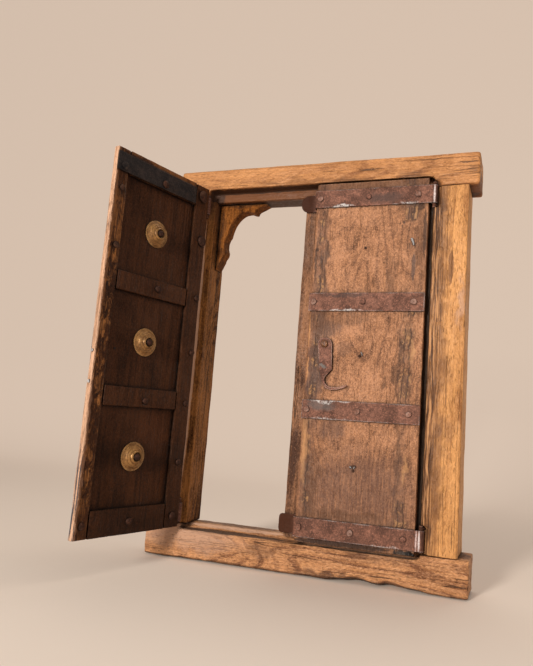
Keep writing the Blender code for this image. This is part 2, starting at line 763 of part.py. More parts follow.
    def nail_profile(self):
        tail = self.inner - NAIL_TAIL - self.seam - GAP
        seat = BOSS_HEIGHT * BOSS_SHARES[0][1] + GAP
        head = dome(NAIL_HEAD_RADIUS, NAIL_HEAD_HEIGHT, seat)
        return head + [(NAIL_RADIUS, seat), (NAIL_RADIUS, tail), (0, tail)]


def dome(radius, height, seat):
    """The profile of a round head, from its crown down to the seat it rests on."""
    sides = [(radius * r, seat + height * z) for r, z in DOME_SHARES]
    return [(0, seat + height)] + sides + [(radius, seat)]


def make_astragal(leaf):
    """The meeting strip behind the right leaf, set back for the cranked tongues."""
    edge = leaf.end
    near = ASTRAGAL_FACE - AXIS_Y
    back = near + ASTRAGAL_THICKNESS
    front = LIP_FRONT - AXIS_Y
    outline = [
        (edge - ASTRAGAL_LAP, near),
        (edge, near),
        (edge, front),
        (edge + ASTRAGAL_REACH, front),
        (edge + ASTRAGAL_REACH, back),
        (edge - ASTRAGAL_LAP, back),
    ]
    outline = [(leaf.hand * x, y) for x, y in outline]
    zs = (LEDGE_Z + ASTRAGAL_FOOT, HEADER_BOTTOM - ASTRAGAL_HEAD)
    strip = sheet("astragal", outline, zs[1] - zs[0], upright=False)
    strip.location = (0, 0, sum(zs) / 2)
    leaf.add(strip, "leaf_wood_inner")


def make_hook(leaf):
    """The flat J hook on its rivet, with the washer that holds it off the board."""
    x = HOOK_X - leaf.axis_x
    hole = RIVET_RADIUS + GAP
    washer_front = leaf.inner - GAP - WASHER_THICKNESS
    hook_back = washer_front - GAP
    hook_front = hook_back - HOOK_THICKNESS
    outline = list(HOOK_SHARES)
    for step in range(1, HOOK_HEAD_STEPS):
        angle = math.pi * step / HOOK_HEAD_STEPS
        outline.append((HOOK_HEAD_SHARES[0] * math.cos(angle), HOOK_HEAD_SHARES[1] * math.sin(angle)))
    outline = [(a * HOOK_DROP, b * HOOK_DROP) for a, b in outline]
    hook = sheet("hook", outline, HOOK_THICKNESS, upright=True)
    hook.location = (x, (hook_back + hook_front) / 2, HOOK_Z)
    leaf.add(hook, "rusty_iron")
    ys = (hook_front - CUTTER_SPARE, leaf.outer + CUTTER_SPARE)
    boolean(hook, leaf.cutter(bore("hook_hole", hole, x, HOOK_Z, ys, PIN_STEPS)))
    boolean(leaf.board, leaf.cutter(bore("rivet_hole", hole, x, HOOK_Z, ys, PIN_STEPS)))
    ring = [(WASHER_RADIUS, WASHER_THICKNESS), (WASHER_RADIUS, 0), (hole, 0)]
    ring += [(hole, WASHER_THICKNESS), ring[0]]
    washer = turned("hook_washer", ring, PIN_STEPS)
    washer.location = (x, washer_front, HOOK_Z)
    washer.rotation_euler = (math.radians(-90), 0, 0)
    leaf.add(washer, "dark_iron")
    seat = leaf.inner - hook_front + GAP
    foot = leaf.inner - leaf.seam - GAP
    profile = dome(RIVET_HEAD_RADIUS, RIVET_HEAD_HEIGHT, seat)
    profile += [(RIVET_RADIUS, seat), (RIVET_RADIUS, foot), (RIVET_TAIL_RADIUS, foot)]
    profile += [(RIVET_TAIL_RADIUS, foot - RIVET_TAIL_HEIGHT), (0, foot - RIVET_TAIL_HEIGHT)]
    rivet = turned("hook_rivet", profile, PIN_STEPS)
    rivet.location = (x, leaf.inner, HOOK_Z)
    rivet.rotation_euler = (math.radians(90), 0, 0)
    leaf.add(rivet, "rusty_iron")


def make_staple(leaf):
    """The wire eye on the left leaf that the hook's bill drops into."""
    x = HOOK_X + STAPLE_SHARES[0] * HOOK_DROP - leaf.axis_x
    z = HOOK_Z + STAPLE_SHARES[1] * HOOK_DROP
    tail = leaf.seam - GAP
    corner = STAPLE_HALF * STAPLE_CORNER_SHARE
    near = leaf.inner - STAPLE_REACH + corner
    middle = STAPLE_HALF - corner
    left = arc((-middle, near), corner, math.pi, math.radians(270), STAPLE_CORNER_STEPS)
    right = arc((middle, near), corner, -math.pi / 2, 0, STAPLE_CORNER_STEPS)
    route = [(-STAPLE_HALF, tail)] + [(a, b) for a, b, _ in left + right] + [(STAPLE_HALF, tail)]
    curve = bpy.data.curves.new("hook_staple", "CURVE")
    curve.dimensions = "3D"
    curve.bevel_depth = STAPLE_WIRE
    curve.bevel_resolution = 2
    curve.use_fill_caps = True
    spline = curve.splines.new("POLY")
    spline.points.add(len(route) - 1)
    for point, (a, b) in zip(spline.points, route):
        point.co = (a, b, 0, 1)
    staple = bpy.data.objects.new("hook_staple", curve)
    staple.location = (x, 0, z)
    leaf.add(staple, "dark_iron")
    ys = (leaf.inner - CUTTER_SPARE, leaf.seam + CUTTER_SPARE)
    for number, leg_x in enumerate((x - STAPLE_HALF, x + STAPLE_HALF), 1):
        hole = bore("staple_hole_%d" % number, STAPLE_WIRE + GAP, leg_x, z, ys)
        boolean(leaf.board, leaf.cutter(hole))


def centre_on_sill():
    """Bring the middle of the sill's underside to the origin."""
    for obj in list(PARTS.objects) + list(CUTTERS.objects):
        if obj.parent is None:
            obj.location.y -= FRAME_DEPTH / 2


def main():
    make_sill()
    make_header()
    for side in HANDS:
        make_jamb(side)
        make_bracket(side)
        for which in HINGE_STRAPS:
            make_pintle(side, which)
    left = Leaf("left", LEFT_FREE_X, LEFT_OPEN_ANGLE, "leaf_wood_dark")
    right = Leaf("right", MEETING_X, 0, "leaf_wood_inner")
    for leaf in (left, right):
        leaf.make_wood()
        leaf.make_bosses()
    left.make_straps(False, left.end - GAP)
    right.make_straps(True, right.end - ASTRAGAL_LAP - GAP)
    make_astragal(right)
    make_hook(right)
    make_staple(left)
    centre_on_sill()


main()
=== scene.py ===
# %% [markdown]
# A jharokha window in aged wood and iron
# This lesson takes the exact construction model of a small reclaimed shutter window
# and gives it the looks of the real one: weathered golden wood round two leaves, one
# closed and brown, one open and blackened by smoke, with rusty straps, a hook and
# three brass bosses.

# %% Load the construction model
import json
import math
import random

import bpy
from mathutils import Matrix, Vector


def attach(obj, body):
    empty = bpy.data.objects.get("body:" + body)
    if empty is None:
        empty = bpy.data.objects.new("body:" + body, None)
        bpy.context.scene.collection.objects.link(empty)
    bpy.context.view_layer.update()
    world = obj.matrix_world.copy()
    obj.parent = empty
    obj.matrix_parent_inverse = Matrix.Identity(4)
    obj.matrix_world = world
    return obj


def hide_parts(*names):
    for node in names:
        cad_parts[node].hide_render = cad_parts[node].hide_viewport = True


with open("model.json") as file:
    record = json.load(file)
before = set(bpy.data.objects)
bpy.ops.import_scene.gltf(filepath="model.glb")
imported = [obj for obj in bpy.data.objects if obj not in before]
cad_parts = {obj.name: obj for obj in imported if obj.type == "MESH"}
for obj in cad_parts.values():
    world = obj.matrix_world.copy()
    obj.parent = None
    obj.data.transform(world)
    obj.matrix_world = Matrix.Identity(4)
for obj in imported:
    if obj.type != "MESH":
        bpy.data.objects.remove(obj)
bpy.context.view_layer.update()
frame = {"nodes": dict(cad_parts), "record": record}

# %% [markdown]
# The photographer stood to the right of the window, a little below its middle, and
# the lens is a normal one. The camera is set from the vanishing lines of the frame,
# and its shift puts the window where it stands in the picture.

# %% Camera
FOCAL_PIXELS = 608.549
SHIFT_PIXELS = (-64.498, 0.604)
LONG_SIDE = 666
CAMERA_PLACE = (0.335385, -0.934083, 0.23356)


def add_object(name, data):
    obj = bpy.data.objects.new(name, data)
    bpy.context.scene.collection.objects.link(obj)
    return obj


camera_data = bpy.data.cameras.new("camera")
camera = add_object("camera", camera_data)
bpy.context.scene.camera = camera
camera_data.sensor_width = 36
camera_data.lens = FOCAL_PIXELS / LONG_SIDE * camera_data.sensor_width
camera_data.shift_x, camera_data.shift_y = (shift / LONG_SIDE for shift in SHIFT_PIXELS)
camera_data.clip_start = 0.01
right = Vector((0.95084, 0.30309, 0.06349))
forward = Vector((-0.30924, 0.94019, 0.14288))
up = Vector((-0.01639, -0.1555, 0.9877))
turn = Matrix((right, up, -forward)).transposed().to_4x4()
camera.matrix_world = Matrix.Translation(CAMERA_PLACE) @ turn
print("camera lens", round(camera_data.lens, 2), "mm")


# %% [markdown]
# Every selection starts from nothing, because an operator works on all that is
# selected and the construction model comes in selected.

# %% Helpers for selecting
def choose(*objects):
    bpy.ops.object.select_all(action="DESELECT")
    for one in objects:
        one.select_set(True)
    bpy.context.view_layer.objects.active = objects[0]


def edit_all():
    bpy.ops.object.mode_set(mode="EDIT")
    bpy.ops.mesh.select_all(action="SELECT")


def leave_edit():
    bpy.ops.object.mode_set(mode="OBJECT")


def apply_modifiers(piece):
    choose(piece)
    for modifier in list(piece.modifiers):
        bpy.ops.object.modifier_apply(modifier=modifier.name)


# %% [markdown]
# The studio is a pale floor that runs up into a pale wall in one sweep, as a roll of
# paper does, so that no corner shows behind the window and its soft shadow stays.

# %% Floor and backdrop
def make_sweep():
    bpy.ops.mesh.primitive_plane_add(size=1, location=(0, 0, 0))
    sweep = bpy.context.object
    sweep.name = "studio_sweep"
    choose(sweep)
    edit_all()
    bpy.ops.transform.resize(value=(9, 5, 1))
    bpy.ops.transform.translate(value=(0, -0.2, 0))
    bpy.ops.mesh.select_all(action="DESELECT")
    leave_edit()
    for edge in sweep.data.edges:
        ends = [sweep.data.vertices[index].co.y for index in edge.vertices]
        edge.select = min(ends) > 1
    bpy.ops.object.mode_set(mode="EDIT")
    bpy.ops.mesh.extrude_region_move(TRANSFORM_OT_translate={"value": (0, 0, 4)})
    leave_edit()
    bend = sweep.modifiers.new("Sweep", "BEVEL")
    bend.width = 1.2
    bend.segments = 24
    bend.limit_method = "ANGLE"
    apply_modifiers(sweep)
    bpy.ops.object.shade_smooth()
    return sweep


sweep = make_sweep()
print("sweep size", tuple(round(side, 2) for side in sweep.dimensions))


# %% [markdown]
# The open leaf would shade its own bosses and the sill if the main light stood far
# to the left, so it hangs only a little left of the viewer. A weak one fills from
# the right, one more lifts the tops, and the room adds a little from all round.

# %% Lights
def area_light(name, place, target, size, watts, colour):
    light = bpy.data.lights.new(name, "AREA")
    light.shape = "SQUARE"
    light.size = size
    light.energy = watts
    light.color = colour
    lamp = add_object(name, light)
    lamp.location = place
    aim = Vector(target) - Vector(place)
    lamp.rotation_euler = aim.to_track_quat("-Z", "Y").to_euler()


area_light("window_light", (-0.6, -3.06, 0.95), (0, 0, 0.3), 0.5, 91, (1.0, 0.95, 0.88))
area_light("fill_light", (2.3, -0.5, 0.95), (0.1, 0, 0.3), 1.2, 9, (1.0, 0.97, 0.93))
area_light("top_light", (0.1, 0.45, 2.2), (0, -0.1, 0), 0.7, 7, (1.0, 0.96, 0.9))
ROOM_STRENGTH = 0.3
world = bpy.data.worlds.new("room")
bpy.context.scene.world = world
world.use_nodes = True
background = world.node_tree.nodes["Background"]
background.inputs["Strength"].default_value = ROOM_STRENGTH
bpy.context.scene.view_settings.view_transform = "Standard"


# %% [markdown]
# Shader trees are long to write one socket at a time, so a small builder keeps each
# line to one node: its kind, its settings and what feeds its inputs. What it hands
# back takes plain signs, so a sum of two noises is written as a sum.

# %% A builder for shader nodes
class Value:
    """A socket that takes part in sums: each sign makes one Math node."""

    def __init__(self, tree, socket):
        self.tree = tree
        self.socket = socket

    def __add__(self, other):
        return self.tree.math("ADD", self, other)

    def __sub__(self, other):
        return self.tree.math("SUBTRACT", self, other)

    def __rsub__(self, other):
        return self.tree.math("SUBTRACT", other, self)

    def __mul__(self, other):
        return self.tree.math("MULTIPLY", self, other)

    def remap(self, low, high, to_low=0.0, to_high=1.0):
        """A smooth step from one span of values to another."""
        inputs = {"Value": self, "From Min": low, "From Max": high}
        inputs.update({"To Min": to_low, "To Max": to_high})
        return self.tree.value("MapRange", "Result", inputs, interpolation_type="SMOOTHSTEP")


class Tree:
    """A shader tree that takes one node per call."""

    def __init__(self, tree):
        self.tree = tree

    def node(self, kind, inputs=(), **settings):
        made = self.tree.nodes.new("ShaderNode" + kind)
        for name, value in settings.items():
            setattr(made, name, value)
        for name, value in dict(inputs).items():
            self.feed(made, name, value)
        return made

    def feed(self, made, name, value):
        socket = made.inputs[name]
        if isinstance(value, Value):
            self.tree.links.new(value.socket, socket)
        else:
            socket.default_value = value

    def value(self, kind, output, inputs=(), **settings):
        return Value(self, self.node(kind, inputs, **settings).outputs[output])

    def values(self, made):
        return {socket.name: Value(self, socket) for socket in made.outputs}

    def dot(self, first, second):
        inputs = {0: first, 1: second}
        return self.value("VectorMath", "Value", inputs, operation="DOT_PRODUCT")

    def axes(self, vector):
        return self.values(self.node("SeparateXYZ", {"Vector": vector}))

    def math(self, operation, first, second=0.0, clamp=False):
        inputs = {0: first, 1: second}
        return self.value("Math", 0, inputs, operation=operation, use_clamp=clamp)

    def noise(self, vector, scale, detail=3.0, rough=0.55, distortion=0.0, along=1):
        """Noise, drawn out along the grain where along is less than one."""
        if along != 1:
            vector = self.scaled(vector, (1, 1, along))
        inputs = {"Vector": vector, "Scale": scale, "Detail": detail}
        inputs.update({"Roughness": rough, "Distortion": distortion})
        return self.value("TexNoise", "Fac", inputs)

    def scaled(self, vector, scale):
        return self.value("Mapping", 0, {"Vector": vector, "Scale": scale})

    def blend(self, share, first, second, blend_type="MIX"):
        made = self.node("Mix", data_type="RGBA", blend_type=blend_type)
        self.feed(made, 0, share)
        for number, colour in ((6, first), (7, second)):
            self.feed(made, number, colour if isinstance(colour, Value) else (*colour, 1))
        return Value(self, made.outputs[2])

    def wobbled(self, vector, scale, reach):
        """The same place pushed a little to and fro by a noise."""
        inputs = {"Vector": vector, "Scale": scale, "Detail": 3.0}
        push = self.value("TexNoise", "Color", inputs)
        inputs = {0: push, 1: (0.5, 0.5, 0.5)}
        centred = self.value("VectorMath", 0, inputs, operation="SUBTRACT")
        inputs = {0: centred, 1: (reach, reach, reach), 2: vector}
        return self.value("VectorMath", 0, inputs, operation="MULTIPLY_ADD")

    def spot(self, vector, centre, reach, firm=0.35):
        """One at a place and nothing beyond its reach along each axis."""
        scale = [1 / side for side in reach]
        place = [-middle * share for middle, share in zip(centre, scale)]
        near = self.value("Mapping", 0, {"Vector": vector, "Location": place, "Scale": scale})
        far = self.value("VectorMath", "Value", {0: near}, operation="LENGTH")
        return far.remap(firm, 1.0, 1.0, 0.0)


# %% [markdown]
# The wall behind is lit from its own hidden lamps in a studio, so it looks even. The
# paper therefore glows a little by itself from where the floor starts to rise.

# %% Paper of the backdrop
def studio_paper():
    paper = bpy.data.materials.new("studio_paper")
    paper.use_nodes = True
    tree = Tree(paper.node_tree)
    shader = paper.node_tree.nodes["Principled BSDF"]
    place = tree.axes(tree.value("TexCoord", "Object"))
    rise = place["Y"].remap(0.35, 1.9)
    colour = tree.blend(rise, (0.86, 0.74, 0.64), (0.1, 0.085, 0.07))
    glow = tree.blend(rise, (0, 0, 0), (0.6, 0.47, 0.375))
    tree.feed(shader, "Base Color", colour)
    tree.feed(shader, "Emission Color", glow)
    shader.inputs["Emission Strength"].default_value = 1.0
    shader.inputs["Roughness"].default_value = 0.9
    return paper


sweep.data.materials.append(studio_paper())
room = Tree(world.node_tree)
seen = room.value("LightPath", "Is Camera Ray")
shade_of_room = room.blend(seen, (1.0, 0.96, 0.92), (2.0, 1.57, 1.25))
room.feed(background, "Color", shade_of_room)
print("paper and room toned")


# %% [markdown]
# What several materials share is made once, as a node group with named inputs and
# outputs. Two helpers open a group and wire its results to the way out.

# %% Making node groups
def new_group(name, inputs, outputs):
    group = bpy.data.node_groups.new(name, "ShaderNodeTree")
    add = group.interface.new_socket
    for title, kind, value in inputs:
        socket = add(title, in_out="INPUT", socket_type="NodeSocket" + kind)
        if value is not None:
            socket.default_value = value
    for title, kind in outputs:
        add(title, in_out="OUTPUT", socket_type="NodeSocket" + kind)
    tree = Tree(group)
    start = group.nodes.new("NodeGroupInput")
    end = group.nodes.new("NodeGroupOutput")
    return group, tree, tree.values(start), end


def finish_group(group, tree, end, values):
    for name, value in values.items():
        tree.feed(end, name, value)
    print("group", group.name, "holds", len(group.nodes), "nodes")
    return group


print("two helpers for groups")


# %% [markdown]
# Old timber shows three scales at once. Growth rings, cut lengthwise, make broad
# bands that close into arches: they are the level lines of a slow noise, so its sine
# draws them. Fibres make fine streaks along the grain. Dirt gathers in clouds that no
# longer follow the grain. All are stretched along Z, and each material turns that
# to its own grain first.

# %% Aged timber group
MIDDLE_SHADE = 0.36
USUAL_WOOD = {
    "rings": 9.0, "ring_depth": 0.45, "stains": 0.5, "streaks": 0.4,
    "flecks": 0.4, "cracks": 0.8, "comb": 0.5, "grit": 0.7,
}


def socket_name(word):
    return word.replace("_", " ").title()


def build_timber():
    inputs = [("Vector", "Vector", None)]
    inputs += [(tone, "Color", (0.3, 0.15, 0.07, 1)) for tone in ("Pale", "Dark", "Stain")]
    inputs += [(socket_name(word), "Float", usual) for word, usual in USUAL_WOOD.items()]
    outputs = [("Color", "Color")]
    outputs += [(title, "Float") for title in ("Roughness", "Height", "Fibre")]
    group, tree, source, end = new_group("aged_timber", inputs, outputs)
    vector = source["Vector"]
    slow = tree.noise(vector, 7.0, 2.0, 0.45, 0.3, along=0.28)
    coarse = tree.noise(vector, 150.0, 3.0, 0.6, along=0.045)
    level = slow * (source["Rings"] * math.tau) + coarse * 2.2
    rings = tree.math("SINE", level) * 0.5 + 0.5
    fibre = tree.noise(vector, 420.0, 3.0, 0.65, along=0.05)
    cloud = tree.noise(vector, 14.0, 5.0, 0.65)
    mottle = tree.noise(vector, 60.0, 4.0, 0.7, 0.6, along=0.4)
    grit = tree.noise(vector, 400.0, 2.0, 0.8, along=0.7)
    lines = rings.remap(0.66, 0.96) * source["Ring Depth"]
    lines *= cloud.remap(0.36, 0.6, 0.35, 1.0)
    streak = coarse.remap(0.3, 0.7, -0.55, 0.55) * source["Streaks"]
    shade = lines + streak + MIDDLE_SHADE
    for layer, swing in ((fibre, 0.13), (cloud, 0.2), (mottle, 0.11)):
        shade += layer.remap(0.3, 0.7, -swing, swing)
    grains = grit.remap(0.34, 0.66, -0.42, 0.42) * source["Grit"]
    shade = tree.math("ADD", shade, grains, clamp=True)
    colour = tree.blend(shade, source["Pale"], source["Dark"])
    smear = tree.noise(vector, 24.0, 6.0, 0.7, 0.6, along=0.35)
    edge = 0.86 - source["Stains"] * 0.3
    over = smear + fibre * 0.25 - edge
    stain = tree.math("MULTIPLY", over, 4.0, clamp=True)
    pores = tree.noise(vector, 560.0, 1.0, along=0.4).remap(0.62, 0.7)
    drift = tree.noise(vector, 60.0, 2.0, 0.5, 0.3, along=0.04)
    split = tree.math("ABSOLUTE", drift - 0.5).remap(0.012, 0.003)
    split = split * mottle.remap(0.42, 0.58) * source["Cracks"]
    dark = tree.math("MAXIMUM", stain * 0.8, pores * 0.3)
    dark = tree.math("MAXIMUM", dark, split)
    colour = tree.blend(dark, colour, source["Stain"])
    fleck = grit.remap(0.6, 0.68) * source["Flecks"]
    bright = tree.blend(1.0, source["Pale"], (1.25, 1.35, 1.5), "MULTIPLY")
    colour = tree.blend(fleck, colour, bright)
    rough = (cloud + grit).remap(0.8, 1.2, 0.4, 0.66)
    rise = fibre * 0.8
    for layer, share in ((coarse, 0.9), (grit, 0.6), (mottle, 0.6), (pores, -0.6), (stain, -0.4)):
        rise += layer * share
    comb = rings * source["Comb"] * cloud.remap(0.42, 0.56)
    rise = rise - split - comb
    results = {"Color": colour, "Roughness": rough, "Height": rise, "Fibre": fibre}
    return finish_group(group, tree, end, results)


timber = build_timber()


# %% [markdown]
# Hands, weather and knocks take the corners off first. The Bevel node compares the
# true surface with one whose edges are rounded: where the two differ there is an
# edge, and a noise breaks that line up into patches.

# %% Worn edge group
def build_wear():
    inputs = [("Vector", "Vector", None), ("Width", "Float", 0.003), ("Patchiness", "Float", 60.0)]
    group, tree, source, end = new_group("worn_edges", inputs, [("Edge", "Float")])
    soft = tree.value("Bevel", 0, {"Radius": source["Width"]}, samples=6)
    flat = tree.value("NewGeometry", "Normal")
    bare = (1.0 - tree.dot(soft, flat)).remap(0.01, 0.2)
    patch = tree.noise(source["Vector"], source["Patchiness"], 4.0, 0.7)
    broken = bare * patch.remap(0.4, 0.6)
    return finish_group(group, tree, end, {"Edge": broken})


wear = build_wear()


# %% [markdown]
# Grime does the opposite of wear and settles where nothing rubs: in corners, round
# straps and in the gaps between timbers, and the same darkening paints the shade that
# falls there. Ambient Occlusion measures how closed in a point is, and a noise keeps
# the dirt and painted shade from looking sprayed on.

# %% Settled dirt and painted shade group
def build_dirt_and_shade():
    inputs = [("Vector", "Vector", None), ("Reach", "Float", 0.012), ("Amount", "Float", 1.0)]
    group, tree, source, end = new_group("settled_dirt_and_shade", inputs, [("Dirt And Shade", "Float")])
    open_air = tree.value("AmbientOcclusion", "AO", {"Distance": source["Reach"]}, samples=8)
    closed_in = open_air.remap(0.94, 0.52)
    uneven = tree.noise(source["Vector"], 90.0, 4.0, 0.7).remap(0.4, 0.6, 0.55, 1.0)
    dirt = tree.math("MULTIPLY", closed_in * uneven, source["Amount"], clamp=True)
    return finish_group(group, tree, end, {"Dirt And Shade": dirt})


dirt = build_dirt_and_shade()


# %% [markdown]
# A material starts from the place on the object, moved and turned so that the grain
# runs along Z. It then calls the groups and ends in a bump from their height.

# %% Helpers for materials
def new_material(name):
    material = bpy.data.materials.new(name)
    material.use_nodes = True
    tree = Tree(material.node_tree)
    return material, tree, material.node_tree.nodes["Principled BSDF"]


def placed(tree, turn_by=(0, 0, 0), shift=(0, 0, 0), longer=1.0):
    """Object coordinates, moved and then turned so that the grain runs along Z."""
    here = tree.value("TexCoord", "Object")
    moved = tree.value("Mapping", 0, {"Vector": here, "Location": shift})
    turned = tree.value("Mapping", 0, {"Vector": moved, "Rotation": turn_by})
    return here, tree.scaled(turned, (1, 1, 1 / longer))


def bump(tree, shader, height, strength, distance):
    inputs = {"Height": height, "Strength": strength, "Distance": distance}
    tree.feed(shader, "Normal", tree.value("Bump", 0, inputs))


def group_node(tree, group, inputs):
    made = tree.node("Group", node_tree=group)
    for name, value in inputs.items():
        tree.feed(made, name, value)
    return tree.values(made)


print("recipe helpers ready")


# %% [markdown]
# Every wood here is one recipe with other values: two tones and a stain, a turn that
# lays the grain along the piece, a shift, the tone of worn edges and spots of other
# tones. Spots called marks keep their place; those called patches wander more.

# %% Wood recipe
def wood_material(name, colours, turn_by, shift, edge_colour, patches=(), **values):
    """Timber with its own grain, worn edges and, where they are, patches of another tone."""
    material, tree, shader = new_material(name)
    here, vector = placed(tree, turn_by, shift, values.get("longer", 1.0))
    inputs = {"Vector": vector}
    for socket, tone in zip(("Pale", "Dark", "Stain"), colours):
        inputs[socket] = (*tone, 1)
    for word, usual in USUAL_WOOD.items():
        inputs[socket_name(word)] = values.get(word, usual)
    wood = group_node(tree, timber, inputs)
    colour = wood["Color"]
    rough_place = tree.wobbled(here, 45.0, 0.035)
    for tone, strength, centre, reach in patches:
        mask = tree.spot(rough_place, centre, reach) * strength
        mask *= wood["Fibre"].remap(0.25, 0.6, 0.45, 1.0)
        colour = tree.blend(mask, colour, tone)
    true_place = tree.wobbled(here, 90.0, 0.006)
    for tone, strength, centre, reach in values.get("marks", ()):
        mask = tree.spot(true_place, centre, reach, 0.75) * strength
        colour = tree.blend(mask, colour, tone)
    edge = group_node(tree, wear, {"Vector": vector, "Width": values.get("edge", 0.003)})
    share = edge["Edge"] * values.get("edge_share", 0.5)
    colour = tree.blend(share, colour, edge_colour)
    if "bands" in values:
        colour = values["bands"](tree, here, vector, colour)
    settings = {"Vector": vector, "Reach": values.get("dirt_reach", 0.008)}
    grime_and_shade = group_node(tree, dirt, {**settings, "Amount": values.get("dirt", 0.95)})
    # settled dirt and painted shade darken corners, gaps and the wood round straps
    colour = tree.blend(grime_and_shade["Dirt And Shade"], colour, colours[2])
    tree.feed(shader, "Base Color", colour)
    tree.feed(shader, "Roughness", wood["Roughness"])
    shader.inputs["Specular IOR Level"].default_value = values.get("gloss", 0.25)
    bump(tree, shader, wood["Height"], values.get("relief", 0.8), 0.0018)
    return material


print("wood recipe ready")


# %% [markdown]
# A spot is a row of numbers in a table: its tone, its strength, its middle and how
# far it reaches. Most lie on one face, so a second helper fills in that face.

# %% Tables of spots
def metres(*sides):
    return tuple(side / 1000 for side in sides)


def spots(rows):
    """Spots whose rows end in x, y, z and the reach along each, in millimetres."""
    return [(*row[:-6], metres(*row[-6:-3]), metres(*row[-3:])) for row in rows]


def on_face(y, deep, rows):
    """Spots on one plane that faces the viewer: rows end in x, z, width and height."""
    return spots([(*start, x, y, z, wide, deep, tall) for *start, x, z, wide, tall in rows])


FRONT = -32
print("a spot on the front", on_face(FRONT, 30, [(0.5, 100, 200, 20, 40)]))

# %% [markdown]
# The frame is golden where hands and light have bleached it, and brown where dirt
# sat. Each timber gets its own shift, so that no two show the same figure, and its
# own list of darker or paler spots. The jamb also shows close combed lines.

# %% Tones and combed lines of the frame
# soot, also used for painted shade and painted shadows
SOOT_AND_SHADE = (0.045, 0.02, 0.011)
GRIME = (0.11, 0.047, 0.022)
UMBER = (0.19, 0.08, 0.03)
ROSE = (0.5, 0.29, 0.19)


def combed_lines(tree, here, vector, colour):
    """Close dark lines where the hard grain stands up along the jamb's inner edge."""
    place = tree.axes(here)
    swaying = tree.wobbled(here, 15.0, 0.01)
    drawn_out = tree.scaled(swaying, (1, 0.3, 0.035))
    comb = tree.noise(drawn_out, 520.0, 1.0, 0.5)
    broken = tree.noise(vector, 60.0, 3.0, 0.6, along=0.4)
    inner = (place["X"] + broken * 0.022).remap(0.226, 0.208)
    inner *= place["Y"].remap(-0.016, -0.028)
    hard = comb.remap(0.5, 0.6, 0.0, 0.9) * inner
    soft = comb.remap(0.46, 0.36, 0.0, 0.7) * inner
    colour = tree.blend(soft, colour, (0.66, 0.33, 0.14))
    return tree.blend(hard, colour, (0.06, 0.024, 0.011))


print("four tones for the frame")

# %% [markdown]
# The header is darkest along its lower edge, where the leaves stop: its underside,
# rebate and stop are painted with shade. The right jamb is darkest along the closed
# leaf, where its rebate is painted near-black as shade, and painted shadows of the
# pins lie on its front. Their spots follow the photograph.

# %% Header and jamb woods
ALONG_X = (0, math.radians(90), 0)
UPRIGHT = (0, 0, 0)
header_wood = wood_material(
    "header_wood", ((0.58, 0.262, 0.094), (0.22, 0.082, 0.026), SOOT_AND_SHADE), ALONG_X,
    (0.1, 0.06, -0.6), (0.6, 0.34, 0.16),
    on_face(FRONT, 30, [
        (GRIME, 0.75, 45, 622, 50, 9), (GRIME, 0.8, 160, 624, 30, 12),
        (UMBER, 0.55, -20, 627, 160, 8), (GRIME, 0.6, 255, 634, 12, 10),
    ])
    + spots([
        # painted shade under the header
        (UMBER, 0.9, 0, -8, 612, 300, 30, 16),
    ]),
    marks=spots([
        # paler end grain, painted lighter still as painted light from the right on the header's end
        ((0.95, 0.52, 0.21), 0.8, 268, 0, 630, 8, 50, 50),
        # painted shade: this mark and the next two darken the header's underside, rebate and stop
        ((0.15, 0.052, 0.017), 0.9, -20, -2, 606, 900, 32, 34),
        (SOOT_AND_SHADE, 0.75, -100, 14, 604, 500, 22, 6), (SOOT_AND_SHADE, 0.9, -100, -16, 621.5, 400, 14, 3),
        (SOOT_AND_SHADE, 0.9, -195, -15, 612, 16, 16, 16), (SOOT_AND_SHADE, 0.95, 190, -20, 612, 12, 10, 16),
        (SOOT_AND_SHADE, 0.8, 243, -32, 642, 20, 4, 1.2),
    ]),
    rings=24, ring_depth=0.35, streaks=0.14, stains=0.2, longer=1.8, grit=0.45, relief=0.5,
)
jamb_wood = wood_material(
    "jamb_wood", ((0.7, 0.335, 0.115), (0.27, 0.106, 0.031), SOOT_AND_SHADE), UPRIGHT, (-0.12, 0.1, 0),
    (0.66, 0.4, 0.2),
    on_face(FRONT, 30, [
        (UMBER, 0.8, 198, 330, 26, 800), (GRIME, 0.45, 196, 500, 18, 160),
        (GRIME, 0.4, 196, 260, 14, 200), (GRIME, 0.7, 194, 100, 12, 100),
        (UMBER, 0.6, 207, 585, 22, 35), (UMBER, 0.55, 215, 230, 30, 30),
        (UMBER, 0.6, 210, 305, 20, 50), (UMBER, 0.45, 208, 150, 18, 80),
        (ROSE, 0.65, 240, 420, 9, 50), (GRIME, 0.6, 200, 575, 16, 50),
    ]),
    marks=spots([
        # painted shade with some soot: the rebate beside the closed leaf, near-black
        ((0.014, 0.007, 0.004), 0.95, 185, -10, 335, 8, 23.5, 800),
        ((0.36, 0.17, 0.1), 0.8, 190.5, -33, 335, 1.2, 4, 210),
    ])
    + on_face(FRONT, 10, [
        # the first two marks are painted shadows of the pins on the jamb's front
        (SOOT_AND_SHADE, 0.45, 200, 574, 10, 20), (SOOT_AND_SHADE, 0.3, 200, 85, 10, 14),
        (UMBER, 0.8, 222, 475, 4, 30), (UMBER, 0.8, 205, 395, 8, 4),
        (UMBER, 0.8, 205, 230, 14, 14),
    ]),
    rings=30, ring_depth=0.34, streaks=0.22, stains=0.2, comb=1.1, longer=2.2, grit=0.45,
    bands=combed_lines, dirt_reach=0.004, dirt=0.5,
)
hinge_jamb_wood = wood_material(
    "hinge_jamb_wood", ((0.34, 0.135, 0.036), (0.05, 0.016, 0.004), (0.014, 0.006, 0.003)),
    UPRIGHT, (0.22, 0.31, 0.4), ROSE,
    spots([
        (GRIME, 0.85, -197, 0, 600, 30, 40, 50),
    ]),
    marks=spots([
        (ROSE, 0.95, -203, -29, 340, 7, 8.5, 255),
        ((0.45, 0.24, 0.1), 0.7, -193, -4, 330, 2, 3, 300),
    ]),
    rings=34, ring_depth=0.5, streaks=0.6, gloss=0.1,
)
print("header and jamb woods made")
